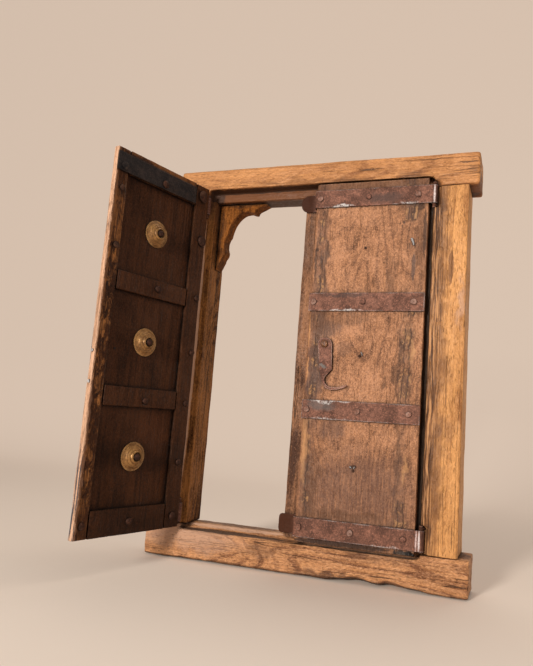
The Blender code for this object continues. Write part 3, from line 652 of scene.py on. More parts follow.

# %% [markdown]
# On the sill the ledge in front of the open leaf has painted bands: painted shade on
# the ledge and on the top of the lip behind it, and painted light on the lip's front
# face. The bracket sits in shade and keeps its warm finish.

# %% Sill and bracket woods
sill_wood = wood_material(
    "sill_wood", ((0.6, 0.285, 0.122), (0.18, 0.068, 0.027), (0.03, 0.012, 0.006)), ALONG_X,
    (0.2, 0.05, 0.04), (0.62, 0.4, 0.25),
    spots([
        (ROSE, 0.85, -190, -32, 35, 130, 40, 30), (GRIME, 0.6, -55, -32, 28, 45, 30, 18),
        (GRIME, 0.6, 110, -32, 45, 90, 30, 10), (GRIME, 0.8, 60, -32, 6, 90, 40, 7),
    ]),
    marks=spots([
        # painted shade on the ledge, painted light on the lip's front face, painted shade on the
        # lip's top
        ((0.055, 0.024, 0.012), 0.95, -118, -16, 47, 120, 13.5, 5.5),
        ((0.5, 0.3, 0.2), 0.8, -118, -1, 52, 120, 3.8, 4.2),
        ((0.12, 0.05, 0.022), 0.85, -118, 18, 56, 120, 16, 6),
        (GRIME, 0.85, 252, 2, 57, 20, 30, 6),
    ]),
    rings=36, ring_depth=0.55, streaks=0.15, stains=0.3, comb=0.9, longer=1.5,
)
bracket_wood = wood_material(
    "bracket_wood", ((0.27, 0.092, 0.018), (0.055, 0.016, 0.003), (0.01, 0.004, 0.002)),
    UPRIGHT, (0.1, 0.2, 0), (0.42, 0.21, 0.08),
    spots([
        (SOOT_AND_SHADE, 0.7, -190, 10, 545, 12, 30, 70), (SOOT_AND_SHADE, 0.6, -186, 10, 492, 12, 30, 14),
        (SOOT_AND_SHADE, 0.6, -150, 10, 602, 60, 30, 5),
    ]),
    ring_depth=0.3, edge=0.0016, edge_share=0.9, gloss=0.05,
)
print("frame woods made")


# %% [markdown]
# The closed leaf is brown and dull. Old glue left ragged dark lines near its long
# edges, with golden flakes beside them, and smoke and hands left most other spots. A
# painted highlight runs along its left arris, and painted shade blackens its edge in
# the gap to the jamb.

# %% Wood of the closed leaf
GOLD = (0.55, 0.28, 0.12)
# painted highlight tone
PAINTED_ARRIS_GLINT = (0.55, 0.27, 0.115)
STALE = (0.13, 0.062, 0.042)
SMOKE = (0.1, 0.055, 0.042)
# black of gaps, also painted shade on the leaf's edge in the gap
GAP_BLACK = (0.004, 0.003, 0.002)


def old_glue_lines(tree, here, vector, colour):
    """Ragged dark lines near both long edges, with golden flakes beside them."""
    place = tree.axes(here)
    lengthwise = tree.scaled(here, (0.1, 0, 1))
    wave = (tree.noise(lengthwise, 16.0, 4.0, 0.6) - 0.5) * 0.03
    broken = tree.noise(lengthwise, 30.0, 2.0)
    across = place["X"] + wave
    flakes = tree.noise(vector, 130.0, 4.0, 0.7, along=0.5)
    for x, width in ((0.164, 0.0017), (0.156, 0.0012), (0.013, 0.0017)):
        away = tree.math("ABSOLUTE", across - x)
        gold = away.remap(0.0065, 0.0035) * flakes.remap(0.5, 0.56)
        gold *= broken.remap(0.5, 0.58)
        colour = tree.blend(gold, colour, (0.62, 0.32, 0.13))
        torn = broken.remap(0.42, 0.54, 0.0, 0.85)
        line = away.remap(width, width * 0.3) * torn
        colour = tree.blend(line, colour, SOOT_AND_SHADE)
        faint = broken.remap(0.42, 0.6, 0.1, 0.55)
        haze = away.remap(0.012, 0.001) * faint
        colour = tree.blend(haze, colour, (0.085, 0.044, 0.03))
    return colour


leaf_wood = wood_material(
    "leaf_wood", ((0.485, 0.224, 0.107), (0.119, 0.048, 0.023), (0.022, 0.01, 0.006)), UPRIGHT,
    (0.3, 0.1, 0.2), (0.5, 0.29, 0.16),
    on_face(FRONT, 20, [
        (STALE, 0.6, 12, 330, 18, 500), (SMOKE, 0.9, 16, 310, 17, 90),
        (SMOKE, 0.85, 30, 378, 26, 20), (SMOKE, 0.35, 62, 350, 14, 16),
        ((0.12, 0.06, 0.042), 0.7, 50, 225, 35, 30), (GRIME, 0.85, 158, 585, 30, 45),
        (GRIME, 0.7, 176, 500, 12, 100), (SOOT_AND_SHADE, 0.75, 20, 490, 8, 75),
        (GRIME, 0.7, 15, 400, 22, 50), (GRIME, 0.6, 130, 455, 10, 60),
        (SOOT_AND_SHADE, 0.65, 150, 330, 7, 90), (SOOT_AND_SHADE, 0.65, 152, 160, 6, 100),
        (STALE, 0.75, 90, 130, 140, 90), (GRIME, 0.7, 20, 140, 20, 90),
        (SOOT_AND_SHADE, 1.0, 90, 48, 160, 22), (GRIME, 0.75, 80, 95, 120, 12),
        (GRIME, 0.55, 55, 395, 60, 16), (GOLD, 0.8, 164, 355, 7, 35),
        (GOLD, 0.7, 8, 190, 9, 70), (GOLD, 0.7, 163, 170, 6, 30),
    ]),
    marks=on_face(FRONT, 10, [
        # painted highlights along the worn left arris
        (PAINTED_ARRIS_GLINT, 0.7, 2.2, 375, 1.4, 30), (PAINTED_ARRIS_GLINT, 0.7, 3, 315, 1.4, 22),
        (PAINTED_ARRIS_GLINT, 0.6, 6, 195, 2.2, 26),
    ])
    + spots([
        # painted shade: the leaf's edge in the gap to the jamb, painted black
        (GAP_BLACK, 1.0, 186.2, -16, 335, 3, 15, 600),
    ])
    + on_face(FRONT, 10, [
        (SOOT_AND_SHADE, 0.85, 6.2, 508, 3.5, 3.5), ((0.11, 0.046, 0.022), 0.75, 80, 616, 160, 12),
        (SOOT_AND_SHADE, 0.8, 163, 560, 7, 10), (SOOT_AND_SHADE, 0.8, 170, 573, 12, 7),
        (SOOT_AND_SHADE, 0.75, 146, 549.5, 2.4, 3), (SOOT_AND_SHADE, 0.7, 141.2, 547, 1.6, 2.4),
        (SOOT_AND_SHADE, 0.65, 150, 552.5, 1.4, 3), (SOOT_AND_SHADE, 0.6, 145.2, 542.5, 1.2, 3.4),
        (SOOT_AND_SHADE, 0.7, 180, 530, 3, 45), (SOOT_AND_SHADE, 0.7, 4.5, 488, 2.2, 40),
        ((0.075, 0.05, 0.045), 0.7, 165, 477, 3.5, 24), (GAP_BLACK, 1.0, 176, 50, 10, 8),
        (GAP_BLACK, 1.0, 156, 51, 2.5, 7), ((0.045, 0.036, 0.03), 1.0, 165, 52, 8, 6),
        (SOOT_AND_SHADE, 0.9, 70, 54, 90, 3.5), (SOOT_AND_SHADE, 0.8, 87, 168, 6, 3),
    ]),
    rings=26, ring_depth=0.3, streaks=0.12, stains=0.2, flecks=0.9, cracks=0.5, comb=0.3,
    longer=0.7, grit=0.85, dirt=1.0, relief=0.65, bands=old_glue_lines,
)
strip_wood = wood_material(
    "strip_wood", ((0.33, 0.15, 0.07), (0.07, 0.027, 0.013), (0.022, 0.01, 0.006)), UPRIGHT,
    (0.42, 0.17, 0.1), (0.5, 0.3, 0.17), spots([(GRIME, 0.7, -10, -20, 520, 30, 30, 80)]),
    streaks=0.7,
)
print("closed leaf's woods made")

# %% [markdown]
# The open leaf is nearly black from smoke. Its free stile has flaked down to orange
# wood, and its edge is bare. Places on it are counted from the hinge along the leaf.

# %% Woods of the open leaf
CHAR = (0.016, 0.0062, 0.0028)
ORANGE = (0.21, 0.08, 0.025)
LEFT_TURN = math.radians(105.1)
HINGE = Vector((-0.2048, -0.029, 0))
ALONG = Vector((math.cos(LEFT_TURN), -math.sin(LEFT_TURN), 0))
OUT = Vector((math.sin(LEFT_TURN), math.cos(LEFT_TURN), 0))


def scraped_bands(tree, here, vector, colour):
    """Flaked soot over orange wood near the free edge, and the bare pale edge itself."""
    along = tree.dot(here, ALONG)
    along -= HINGE.dot(ALONG)
    flakes = tree.noise(vector, 95.0, 5.0, 0.75, 0.8, along=0.45)
    reach = tree.noise(vector, 9.0, 2.0, along=0.6)
    level = 0.64 - reach * 0.32
    bared = tree.math("MULTIPLY", flakes - level, 9.0, clamp=True)
    bared *= along.remap(0.172, 0.182)
    height = tree.axes(here)["Z"]
    bared *= height.remap(0.56, 0.42, 0.45, 1.0)
    bared *= height.remap(0.07, 0.16, 0.3, 1.0)
    grain = tree.noise(vector, 300.0, 4.0, 0.7, along=0.08)
    tones = (0.32, 0.125, 0.036), (0.075, 0.027, 0.009)
    orange = tree.blend(grain.remap(0.35, 0.65), *tones)
    colour = tree.blend(bared, colour, orange)
    pale = tree.blend(grain.remap(0.4, 0.7), (0.66, 0.4, 0.26), (0.3, 0.15, 0.085))
    scars = tree.noise(vector, 160.0, 4.0, 0.7, along=0.05)
    slate = (scars + height.remap(0.4, 0.15, 0.0, 0.1)).remap(0.62, 0.68)
    pale = tree.blend(slate, pale, (0.075, 0.07, 0.08))
    ragged = along + (flakes - 0.5) * 0.01
    return tree.blend(ragged.remap(0.1955, 0.1975), colour, pale)


smoked_wood = wood_material(
    "smoked_wood", ((0.066, 0.0218, 0.007), (0.02, 0.0068, 0.0025), (0.005, 0.0028, 0.002)),
    (0, 0, LEFT_TURN), (0.2, 0.3, 0.1), (0.2, 0.088, 0.04),
    spots([
        (CHAR, 0.8, -215, -110, 20, 60, 200, 100), (CHAR, 0.7, -215, -110, 165, 60, 200, 30),
        ((0.09, 0.028, 0.009), 0.4, -215, -100, 200, 60, 50, 60),
    ]),
    stains=0.25, ring_depth=0.15, flecks=0.35, cracks=0.5, edge=0.0018, edge_share=0.6,
    gloss=0.12, relief=0.8,
)
scraped_wood = wood_material(
    "scraped_wood", ((0.06, 0.019, 0.0058), (0.014, 0.005, 0.002), (0.005, 0.0028, 0.002)),
    (0, 0, LEFT_TURN), (0.12, 0.2, 0.1), (0.45, 0.24, 0.13),
    spots([
        (ORANGE, 0.95, -222, -135, 624, 60, 160, 14),
    ]),
    stains=0.4, ring_depth=0.2,
    marks=spots([
        ((0.17, 0.07, 0.03), 0.75, -256.7, -221.4, 500, 30, 5, 220),
        ((0.3, 0.15, 0.09), 0.55, -256.7, -221.4, 150, 30, 5, 160),
        ((0.07, 0.05, 0.045), 0.6, -252, -222.5, 160, 3, 5, 100),
    ]),
    edge=0.0035, edge_share=0.35, bands=scraped_bands, gloss=0.12, relief=0.9,
)
print("woods", [name for name in bpy.data.materials.keys() if "wood" in name])


# %% [markdown]
# The straps were beaten from old iron. Rust has two tones that cloud into each other,
# darker scale and painted shade sit in hollows, and rubbing has brought the metal up
# bare and silvery along parts of the edges.

# %% Iron recipe
def iron_material(name, tones, silver, silver_share, patches=(), **values):
    """Iron in two tones of rust, with rubbed patches, tints and marks at their places."""
    material, tree, shader = new_material(name)
    here, vector = placed(tree)
    size = values.get("clouds", 38.0)
    cloud = tree.noise(vector, size, 6.0, 0.7, 0.5)
    speck = tree.noise(vector, 460.0, 4.0, 0.7)
    rust, dark = tones
    mottle = tree.noise(vector, size * 4.0, 4.0, 0.7)
    colour = tree.blend(cloud.remap(0.36, 0.64), rust, dark)
    speckle = values.get("speckle", 1.0)
    colour = tree.blend(mottle.remap(0.42, 0.6, 0.0, 0.6 * speckle), colour, dark)
    pale = [min(1.0, side * 1.9) for side in rust]
    colour = tree.blend(speck.remap(0.54, 0.66, 0.0, 0.55 * speckle), colour, pale)
    black = [side * 0.35 for side in dark]
    colour = tree.blend(speck.remap(0.36, 0.46, 0.5, 0.0), colour, black)
    edge = group_node(tree, wear, {"Vector": vector, "Width": 0.0026, "Patchiness": 34.0})
    bare = tree.math("MULTIPLY", edge["Edge"], silver_share, clamp=True)
    near = tree.wobbled(here, 70.0, 0.016)
    for tone, strength, centre, reach in values.get("tints", ()):
        mask = tree.spot(near, centre, reach) * strength
        colour = tree.blend(mask, colour, tone)
        bare *= 1.0 - mask
    for strength, centre, reach in patches:
        rubbed = tree.spot(near, centre, reach) * strength
        rubbed *= speck.remap(0.4, 0.6)
        bare = tree.math("MAXIMUM", bare, rubbed)
    colour = tree.blend(bare, colour, silver)
    exact = tree.wobbled(here, 90.0, 0.0012)
    for tone, strength, centre, reach in values.get("marks", ()):
        mask = tree.spot(exact, centre, reach) * strength
        mask *= speck.remap(0.36, 0.52, 0.4, 1.0)
        colour = tree.blend(mask, colour, tone)
    settings = {"Vector": vector, "Reach": values.get("dirt_reach", 0.005)}
    grime_and_shade = group_node(tree, dirt, {**settings, "Amount": 0.9})
    # settled dirt and painted shade darken hollows and the ground round heads and edges
    colour = tree.blend(grime_and_shade["Dirt And Shade"], colour, [side * 0.18 for side in dark])
    tree.feed(shader, "Base Color", colour)
    smooth = values.get("smooth", 0.0)
    tree.feed(shader, "Roughness", cloud.remap(0.3, 0.7, 0.46 - smooth, 0.68 - smooth))
    shader.inputs["Metallic"].default_value = values.get("metal", 0.15)
    shader.inputs["Specular IOR Level"].default_value = values.get("gloss", 0.14)
    bump(tree, shader, cloud + speck * 0.6 + mottle * 0.8, 0.7 * speckle, 0.0012)
    return material


print("iron recipe ready")

# %% [markdown]
# Only the straps and the hook have spots of their own: rubbed lines, scale, dark
# rings round the nails and darker tongues. Where each strap rolls into its eye, a
# painted highlight and a painted shade line stand in for the light on the roll.

# %% Metals
STRAP_FACE = -34
SILVER = (0.6, 0.58, 0.57)
# painted highlight and painted shade for the rolled eyes
PAINTED_GLEAM = (0.7, 0.6, 0.58)
GROOVE_SHADE = (0.03, 0.014, 0.01)
STRAP_LEVELS = {"top": 0.593, "upper": 0.4215, "lower": 0.251, "bottom": 0.0725}
NAILS_ALONG = (0.007, 0.0885, 0.168)
nail_rings = [
    ((0.04, 0.018, 0.012), 0.75, (x, -0.034, z), (0.0068, 0.01, 0.0068))
    for x in NAILS_ALONG
    for z in STRAP_LEVELS.values()
]
rusty_iron = iron_material(
    "rusty_iron", ((0.225, 0.098, 0.064), (0.102, 0.047, 0.033)), SILVER, 0.65,
    on_face(STRAP_FACE, 20, [
        (0.9, 40, 579, 30, 4), (0.9, 155, 579.5, 20, 4), (0.8, 55, 407.5, 40, 3),
        (0.7, 45, 237, 40, 3), (0.7, 40, 265, 50, 3), (0.7, 140, 58, 30, 3),
    ])
    + spots([
        (0.8, 22, -36, 318, 8, 20, 8),
    ]),
    marks=nail_rings
    + on_face(STRAP_FACE, 10, [
        # painted highlights and painted shade lines where the straps roll into their eyes
        (PAINTED_GLEAM, 0.9, 193.2, 593, 2.2, 22), (GROOVE_SHADE, 0.7, 196.5, 593, 2.2, 24),
        ((0.62, 0.46, 0.43), 0.9, 186.6, 72.5, 1.8, 22), (PAINTED_GLEAM, 0.9, 190.8, 72.5, 2, 22),
        (GROOVE_SHADE, 0.7, 195.8, 72.5, 2.6, 24),
    ]),
    dirt_reach=0.0035,
    tints=spots([
        ((0.045, 0.013, 0.005), 1.0, -26, -15, 593, 32, 40, 50),
        ((0.06, 0.019, 0.008), 1.0, -26, -15, 72.5, 32, 40, 50),
    ])
    + on_face(STRAP_FACE, 20, [
        ((0.055, 0.036, 0.032), 0.7, 115, 590, 40, 12),
        ((0.06, 0.04, 0.036), 0.6, 60, 433, 50, 5), ((0.12, 0.105, 0.1), 0.6, 30, 258, 30, 12),
    ]),
)
nail_iron = iron_material(
    "nail_iron", ((0.27, 0.12, 0.08), (0.12, 0.054, 0.038)), (0.5, 0.36, 0.3), 0.35,
    clouds=150.0,
)
black_iron = iron_material(
    "black_iron", ((0.034, 0.024, 0.021), (0.0135, 0.0115, 0.012)), (0.16, 0.1, 0.07), 0.5,
)
knob_iron = iron_material(
    "knob_iron", ((0.0675, 0.025, 0.0135), (0.026, 0.0123, 0.0084)), (0.2, 0.11, 0.07), 0.35,
    clouds=120.0,
)
pin_iron = iron_material(
    "pin_iron", ((0.135, 0.05, 0.026), (0.05, 0.022, 0.014)), (0.4, 0.24, 0.18), 0.6,
    clouds=90.0,
)
hook_iron = iron_material(
    "hook_iron", ((0.235, 0.104, 0.07), (0.1, 0.046, 0.033)), (0.58, 0.4, 0.33), 0.6,
    tints=spots([
        ((0.46, 0.46, 0.46), 0.9, 20, -36, 317, 3.5, 20, 6),
        ((0.16, 0.15, 0.14), 0.8, 28, -36, 318, 8, 20, 3),
    ]),
)
rivet_iron = iron_material(
    "rivet_iron", ((0.22, 0.078, 0.021), (0.06, 0.022, 0.009)), (0.75, 0.38, 0.15), 0.35,
    clouds=200.0, smooth=0.2, gloss=0.6,
)
brass = iron_material(
    "old_brass", ((0.4, 0.205, 0.066), (0.16, 0.07, 0.02)), (0.7, 0.42, 0.18), 0.6, metal=0.5,
    clouds=60.0, speckle=0.4, smooth=0.12, gloss=0.5, dirt_reach=0.004,
)
bright_iron = iron_material(
    "bright_iron", ((0.62, 0.6, 0.6), (0.3, 0.28, 0.28)), (0.8, 0.8, 0.8), 0.3, metal=0.6,
    clouds=300.0,
)
print("metals", [name for name in bpy.data.materials.keys() if name.endswith(("iron", "brass"))])


# %% [markdown]
# A saw leaves timber true, and a century takes that away: edges round over, faces
# sink along the soft grain and corners chip. Each timber starts as a copy of its own
# construction solid. A voxel remesh turns it into an even skin that rounds the
# corners, and two displacements, a slow one and one drawn out along the grain, press
# the skin inwards. Nothing grows past the construction solid.

# %% Weathering timber
def clouds(name, size):
    texture = bpy.data.textures.new(name, "CLOUDS")
    texture.noise_scale = size
    texture.noise_depth = 2
    return texture


slow_clouds = clouds("slow_hollows", 0.045)
grain_clouds = clouds("grain_ridges", 0.01)
grain_frames = {}
for axis, scale in {"x": (12, 1, 1), "z": (1, 1, 12)}.items():
    grain_frames[axis] = add_object("grain_along_" + axis, None)
    grain_frames[axis].scale = scale
bpy.context.view_layer.update()


def press(piece, texture, strength, grain=None):
    """Displace a skin inwards only, so that it stays within the solid."""
    modifier = piece.modifiers.new("Press", "DISPLACE")
    modifier.texture = texture
    modifier.strength = strength
    modifier.mid_level = 1.0
    modifier.texture_coords = "LOCAL"
    if grain:
        modifier.texture_coords = "OBJECT"
        modifier.texture_coords_object = grain_frames[grain]


def node(name):
    return frame["nodes"][name]


def settle(piece):
    """Put a piece's place into its mesh, so that its object is back at the origin."""
    choose(piece)
    bpy.ops.object.transform_apply(location=True, rotation=True, scale=True)


def copied(name, sources):
    """Copies of construction nodes, joined to one piece whose object is at the origin."""
    copies = []
    for source in sources:
        copies.append(add_object(name, node(source).data.copy()))
        copies[-1].matrix_world = node(source).matrix_world
    choose(*copies)
    if len(copies) > 1:
        bpy.ops.object.join()
    piece = bpy.context.object
    piece.name = name
    settle(piece)
    return piece


MIDDLE_LEVEL = 0.33


def weathered(piece, grain, voxel=0.002, hollow=0.0016, ridge=0.0008, rounding=2, longer=1.0):
    """Turn a copy into a worn skin."""
    edit_all()
    bpy.ops.mesh.remove_doubles(threshold=0.00002)
    bpy.ops.transform.resize(value=(1, 1, longer), center_override=(0, 0, MIDDLE_LEVEL))
    leave_edit()
    skin = piece.modifiers.new("Skin", "REMESH")
    skin.mode = "VOXEL"
    skin.voxel_size = voxel
    skin.use_smooth_shade = True
    soften = piece.modifiers.new("Soften", "SMOOTH")
    soften.factor = 0.5
    soften.iterations = rounding
    press(piece, slow_clouds, hollow)
    press(piece, grain_clouds, ridge, grain)
    apply_modifiers(piece)
    bpy.ops.object.shade_smooth()


print("skin recipe ready, grain along", list(grain_frames))

# %% [markdown]
# Which material and body a piece gets follows from the node it stands for: the
# record names slots and bodies, and a short table names the materials.

# %% Finishes
BODIES = frame["record"]["behaviour"]["bodies"]


def body_of_node(name):
    return next(body for body, members in BODIES.items() if name in members)


FINISHES = {
    "header": header_wood, "jamb_right": jamb_wood, "jamb_left": hinge_jamb_wood,
    "sill": sill_wood, "bracket": bracket_wood, "astragal": strip_wood,
    "left_free_stile": scraped_wood, "left_rail_1": scraped_wood, "pintle": pin_iron,
    "hook_staple": black_iron, "hook_washer": black_iron, "hook_rivet": rivet_iron,
    "hook": hook_iron,
}


def finish_of(name):
    if "boss_nail" in name:
        return knob_iron
    if "boss" in name:
        return brass
    if "strap" in name:
        return black_iron if "outer" in name else rusty_iron
    for start, material in FINISHES.items():
        if name.startswith(start):
            return material
    return leaf_wood if name.startswith("right_") else smoked_wood


def paint(piece, material):
    piece.data.materials.clear()
    piece.data.materials.append(material)


def stand_in(piece, sources):
    """Let a piece take the place of construction nodes."""
    paint(piece, finish_of(sources[0]))
    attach(piece, body_of_node(sources[0]))
    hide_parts(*sources)


for name, obj in frame["nodes"].items():
    paint(obj, finish_of(name))
print("painted", len(frame["nodes"]), "construction nodes")

# %% [markdown]
# Every timber and every strap now gets its skin. The jambs' skins are a little longer
# than their solids' visible part, so that no gap shows where they meet the sill and
# header, and the closed leaf's board and stiles share one skin, as one plank.

# %% Skins for timbers and straps
JAMB_LONGER = 1.011
CARVED = {"voxel": 0.001, "hollow": 0.0006, "ridge": 0.0005, "rounding": 1}
TIMBERS = [
    ("worn_header", ["header"], "x", {"rounding": 10}),
    ("worn_sill", ["sill"], "x", {"hollow": 0.0024, "rounding": 8}),
    ("worn_jamb_left", ["jamb_left"], "z", {"rounding": 4, "longer": JAMB_LONGER}),
    ("worn_jamb_right", ["jamb_right"], "z",
     {"hollow": 0.0014, "rounding": 5, "longer": JAMB_LONGER}),
    ("worn_bracket_left", ["bracket_left"], "z", CARVED),
    ("worn_bracket_right", ["bracket_right"], "z", CARVED),
    ("right_plank", ["right_board", "right_hinge_stile", "right_free_stile"], "z",
     {"hollow": 0.001, "ridge": 0.0006}),
    ("worn_strip", ["astragal"], "z", {"voxel": 0.0015}),
    ("worn_left_board", ["left_board"], "z", {"hollow": 0.0008}),
    ("worn_left_hinge_stile", ["left_hinge_stile"], "z", {"voxel": 0.0015, "hollow": 0.001}),
    ("worn_left_free_stile", ["left_free_stile"], "z", {"voxel": 0.0015, "hollow": 0.0014}),
]
RAIL = {"voxel": 0.0013, "hollow": 0.0008, "ridge": 0.0005}
IRON = {"voxel": 0.0008, "hollow": 0.0004, "ridge": 0.0003, "rounding": 1}
SIDES = ("left", "right")
STRAPS = ("hinge_strap_top", "strap_upper", "strap_lower", "hinge_strap_bottom", "outer_strap")
rails = ["%s_rail_%d" % (side, number) for side in SIDES for number in range(1, 5)]
straps = [side + "_" + strap for side in SIDES for strap in STRAPS]
TIMBERS += [("worn_" + rail, [rail], "z", RAIL) for rail in rails]
TIMBERS += [("beaten_" + strap, [strap], "x", IRON) for strap in straps]
TIMBERS.append(("beaten_hook", ["hook"], "z", IRON))
for name, sources, grain, values in TIMBERS:
    piece = copied(name, sources)
    weathered(piece, grain, **values)
    stand_in(piece, sources)
    print(name, len(piece.data.polygons), "faces")
for empty in grain_frames.values():
    bpy.data.objects.remove(empty, do_unlink=True)


# %% [markdown]
# The straps are held by hand-made nails whose heads were hammered to low domes. A
# head is made from a sphere: its lower half is cut away, its crown is flattened and
# its rim is pulled about a little. Every place gets a new head with its own seed and
# its own turn, and the heads of one row are joined.

# %% Nail heads
FLAT_FROM = 0.8


def nail_head(name, radius, height, seed):
    """A low hammered dome standing on Z = 0."""
    rng = random.Random(seed)
    bpy.ops.mesh.primitive_uv_sphere_add(segments=20, ring_count=12, radius=radius)
    head = bpy.context.object
    head.name = name
    choose(head)
    edit_all()
    bpy.ops.mesh.bisect(plane_co=(0, 0, 0), plane_no=(0, 0, 1), use_fill=True, clear_inner=True)
    bpy.ops.mesh.select_all(action="SELECT")
    bpy.ops.transform.resize(value=(1, 1, height / radius))
    leave_edit()
    lean = rng.uniform(-0.12, 0.12)
    for vertex in head.data.vertices:
        angle = math.atan2(vertex.co.y, vertex.co.x)
        swell = 1 + 0.07 * math.sin(2 * angle + seed) + 0.05 * math.sin(3 * angle + 2 * seed)
        vertex.co.x *= swell
        vertex.co.y *= swell
        if vertex.co.z > height * FLAT_FROM:
            vertex.co.z -= (vertex.co.z - height * FLAT_FROM) * 0.6
        vertex.co.x += lean * vertex.co.z
    bpy.ops.object.shade_smooth()
    return head


def nails(name, body, slot, material, places, direction, radius, height):
    """Heads on a flat face: each place is the middle of a head's foot."""
    heads = []
    stand = Vector(direction).to_track_quat("Z", "Y").to_matrix().to_4x4()
    for number, place in enumerate(places):
        rng = random.Random(number + len(name))
        head = nail_head(name, radius * rng.uniform(0.9, 1.1), height, number + len(name))
        spin = Matrix.Rotation(rng.uniform(0, math.tau), 4, "Z")
        head.matrix_world = Matrix.Translation(place) @ stand @ spin
        heads.append(head)
    choose(*heads)
    if len(heads) > 1:
        bpy.ops.object.join()
    piece = bpy.context.object
    piece.name = name
    settle(piece)
    paint(piece, material)
    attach(piece, body)
    print(name, len(places), "heads")


print("nail recipe ready")


# %% [markdown]
# Four nails were driven through the closed leaf and bent over. Their ends are thin
# tapered drums that lie on the plank, and they are still bright.

# %% Bent nail ends
def clinched_tip(name, start, end, thickness):
    """The bright bent end of a nail that came through the plank."""
    start, end = Vector(start), Vector(end)
    reach = (end - start).length
    bpy.ops.mesh.primitive_cylinder_add(vertices=10, radius=thickness, depth=reach)
    tip = bpy.context.object
    tip.name = name
    choose(tip)
    edit_all()
    bpy.ops.mesh.bevel(offset=thickness * 0.5, segments=2)
    bpy.ops.mesh.subdivide(number_cuts=2)
    leave_edit()
    half = reach / 2
    for vertex in tip.data.vertices:
        share = (vertex.co.z + half) / (2 * half)
        vertex.co.x *= 1.0 - 0.3 * share
        vertex.co.y = vertex.co.y * (0.8 - 0.3 * share) + 0.0006 * math.sin(math.pi * share)
    aim = (end - start).to_track_quat("Z", "Y").to_matrix().to_4x4()
    tip.matrix_world = Matrix.Translation((start + end) / 2) @ aim
    settle(tip)
    bpy.ops.object.shade_smooth_by_angle(angle=math.radians(40))
    paint(tip, bright_iron)
    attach(tip, "right_leaf")


PLANK = -0.0322
BENT_NAILS = {
    "bent_nail_top": ((0.16, 0.5225), (0.164, 0.511), 0.0024),
    "bent_nail_middle": ((0.0892, 0.3425), (0.0915, 0.337), 0.0012),
    "bent_nail_low": ((0.0815, 0.168), (0.085, 0.1655), 0.0012),
    "bent_nail_low_end": ((0.0895, 0.169), (0.0885, 0.165), 0.0012),
}
for name, ((x, z), (end_x, end_z), thickness) in BENT_NAILS.items():
    clinched_tip(name, (x, PLANK, z), (end_x, PLANK, end_z), thickness)
print("bent nails", len(BENT_NAILS))


# %% [markdown]
# The bosses were turned or spun from brass sheet, and their rims were filed into
# small teeth. Each starts as a disc whose face is extruded and scaled, ring by ring,
# up to the crown, where it dips for the nail. The teeth are cut last.

# %% Bosses with toothed rims
RIM = ((1.0, 0.07), (0.97, 0.1), (0.91, 0.2), (0.87, 0.17))
DISH = ((0.74, 0.33), (0.67, 0.52), (0.63, 0.5), (0.52, 0.74), (0.49, 0.76), (0.45, 0.74))
CROWN = ((0.41, 0.92), (0.34, 0.99), (0.3, 0.93), (0.28, 0.7), (0.12, 0.68))
BOSS_TEETH = 52
TEETH_FROM = 0.8
TOOTH_DEPTH = 0.045
FLUTE_DEPTH = 0.00022


def toothed_boss(name, radius, height):
    bpy.ops.mesh.primitive_circle_add(vertices=BOSS_TEETH * 4, radius=radius, fill_type="NGON")
    boss = bpy.context.object
    boss.name = name
    choose(boss)
    edit_all()
    reach, level = 1.0, 0.0
    for share, rise in RIM + DISH + CROWN:
        move = {"value": (0, 0, (rise - level) * height)}
        bpy.ops.mesh.extrude_region_move(TRANSFORM_OT_translate=move)
        scale = share / reach
        bpy.ops.transform.resize(value=(scale, scale, 1), center_override=(0, 0, rise * height))
        reach, level = share, rise
    bpy.ops.mesh.select_all(action="SELECT")
    bpy.ops.mesh.normals_make_consistent(inside=False)
    leave_edit()
    for vertex in boss.data.vertices:
        out = math.hypot(vertex.co.x, vertex.co.y) / radius
        angle = math.atan2(vertex.co.y, vertex.co.x)
        tooth = 0.5 + 0.5 * math.cos(BOSS_TEETH * angle)
        share = max(0.0, (out - TEETH_FROM) / 0.2)
        vertex.co.x *= 1 - TOOTH_DEPTH * share * tooth
        vertex.co.y *= 1 - TOOTH_DEPTH * share * tooth
        if 0.6 < out < 0.96:
            vertex.co.z -= FLUTE_DEPTH * tooth
    bpy.ops.object.shade_smooth_by_angle(angle=math.radians(50))
    return boss


def put_boss(source, outwards):
    """Set a boss where the construction model has one, facing outwards."""
    obj = node(source)
    points = [obj.matrix_world @ vertex.co for vertex in obj.data.vertices]
    outwards = Vector(outwards)
    sideways = Vector((0, 0, 1)).cross(outwards)
    middle = Vector((0, 0, 0))
    for way in (sideways, Vector((0, 0, 1))):
        reaches = [way.dot(point) for point in points]
        middle += way * (min(reaches) + max(reaches)) / 2
    depths = [outwards.dot(point) for point in points]
    middle += outwards * min(depths)
    radius = (max(reaches) - min(reaches)) / 2
    boss = toothed_boss("turned_" + source, radius, max(depths) - min(depths))
    stand = outwards.to_track_quat("Z", "Y").to_matrix().to_4x4()
    boss.matrix_world = Matrix.Translation(middle) @ stand
    settle(boss)
    stand_in(boss, [source])


for number in range(1, 4):
    put_boss("left_boss_%d" % number, OUT)
    put_boss("right_boss_%d" % number, (0, 1, 0))
print("bosses with", BOSS_TEETH, "teeth")

# %% [markdown]
# Nails with broad, low heads hold the straps, three in each, and one larger rivet
# carries the hook. Their heights are those of the straps.

# %% Nails in the straps
STRAP_FRONT = -0.0342
RIVET = (0.0302, -0.0372, 0.3539)
TOWARDS_VIEWER = (0, -1, 0)
strap_nails = (0.0044, 0.0017)
rivet_size = (0.005, 0.003)
places = [(x, STRAP_FRONT, z) for z in STRAP_LEVELS.values() for x in NAILS_ALONG]
on_plank = ("right_leaf", "rusty_iron")
nails("right_strap_nails", *on_plank, nail_iron, places, TOWARDS_VIEWER, *strap_nails)
nails("hook_rivet_head", *on_plank, rivet_iron, [RIVET], TOWARDS_VIEWER, *rivet_size)


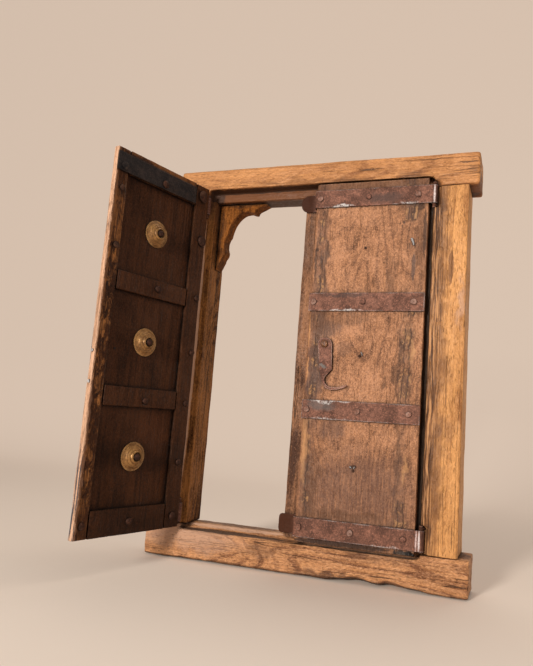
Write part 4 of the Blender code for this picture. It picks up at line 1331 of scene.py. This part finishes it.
# %% [markdown]
# On the left leaf a place is counted along the leaf from its hinge, outwards from
# its face and up from the floor, and then turned with the leaf.

# %% Nails on the open leaf
FACE = 0.01
SUNK = FACE - 0.0006
OUTER_STRAP = 0.0123
SEEN_FOOT, LEAF_FOOT, SHRINK = 0.053, 0.0498, 0.9936


def on_left_leaf(along, out, z):
    return HINGE + ALONG * along + OUT * out + Vector((0, 0, z))


def measured(*rows):
    """Places whose heights were read off the photograph, set to the leaf's true heights."""
    return [(along, LEAF_FOOT + (z - SEEN_FOOT) * SHRINK) for along, z in rows]


def leaf_nails(name, material, places, out, radius, height, way=OUT):
    spread = [on_left_leaf(along, out, z) for along, z in places]
    nails(name, "left_leaf", "dark_iron", material, spread, way, radius, height)


stile = measured((0.0155, 0.43), (0.0146, 0.337), (0.0172, 0.252), (0.0206, 0.157), (0.0237, 0.073))
rail = measured((0.098, 0.4275), (0.1006, 0.2508), (0.1073, 0.0724))
far = measured((0.1855, 0.5648), (0.1845, 0.4763), (0.1874, 0.0732))
ends = [(0.1985, 0.3125), (0.1985, 0.2685)]
flat, domed = measured((0.1864, 0.598), (0.1077, 0.598))
leaf_nails("left_stile_nails", knob_iron, stile, SUNK, 0.0052, 0.0042)
leaf_nails("left_rail_nails", knob_iron, rail, SUNK, 0.0055, 0.0045)
leaf_nails("left_free_stile_nails", knob_iron, far, SUNK, 0.0046, 0.0018)
leaf_nails("edge_nail_ends", bright_iron, ends, 0.004, 0.0024, 0.0016, ALONG)
leaf_nails("flat_strap_nail", black_iron, [flat], OUTER_STRAP, 0.0056, 0.001)
leaf_nails("round_strap_nail", knob_iron, [domed], OUTER_STRAP, 0.0062, 0.0044)
leaf_nails("knot_nail", knob_iron, [(0.0168, 0.5235)], FACE - 0.001, 0.0088, 0.006)
leaf_nails("disc_nail", knob_iron, measured((0.0229, 0.6077)), FACE - 0.0004, 0.0098, 0.0015)


# %% [markdown]
# The faces that the photograph hides get the same nails: three in each strap on the
# open leaf's inner face, and a row in the stile and the rails of the closed leaf's
# outer face. How far those faces reach is read from the construction model.

# %% Nails on the hidden faces
def reach_of(name, way):
    obj = node(name)
    return max(way.dot(obj.matrix_world @ vertex.co) for vertex in obj.data.vertices)


inner_face = -reach_of("left_strap_upper", -OUT) - OUT.dot(HINGE) + 0.0004
places = [
    on_left_leaf(along, inner_face, z)
    for z in STRAP_LEVELS.values()
    for along in (0.028, 0.106, 0.184)
]
on_leaf = ("left_leaf", "rusty_iron")
nails("left_strap_nails", *on_leaf, nail_iron, places, -OUT, *strap_nails)
back = reach_of("right_hinge_stile", Vector((0, 1, 0))) - 0.0006
places = [(x, back, z) for x, row in ((0.175, stile), (0.092, rail)) for _, z in row]
back_nails = (places, (0, 1, 0), 0.0052, 0.004)
nails("right_back_nails", "right_leaf", "dark_iron", knob_iron, *back_nails)
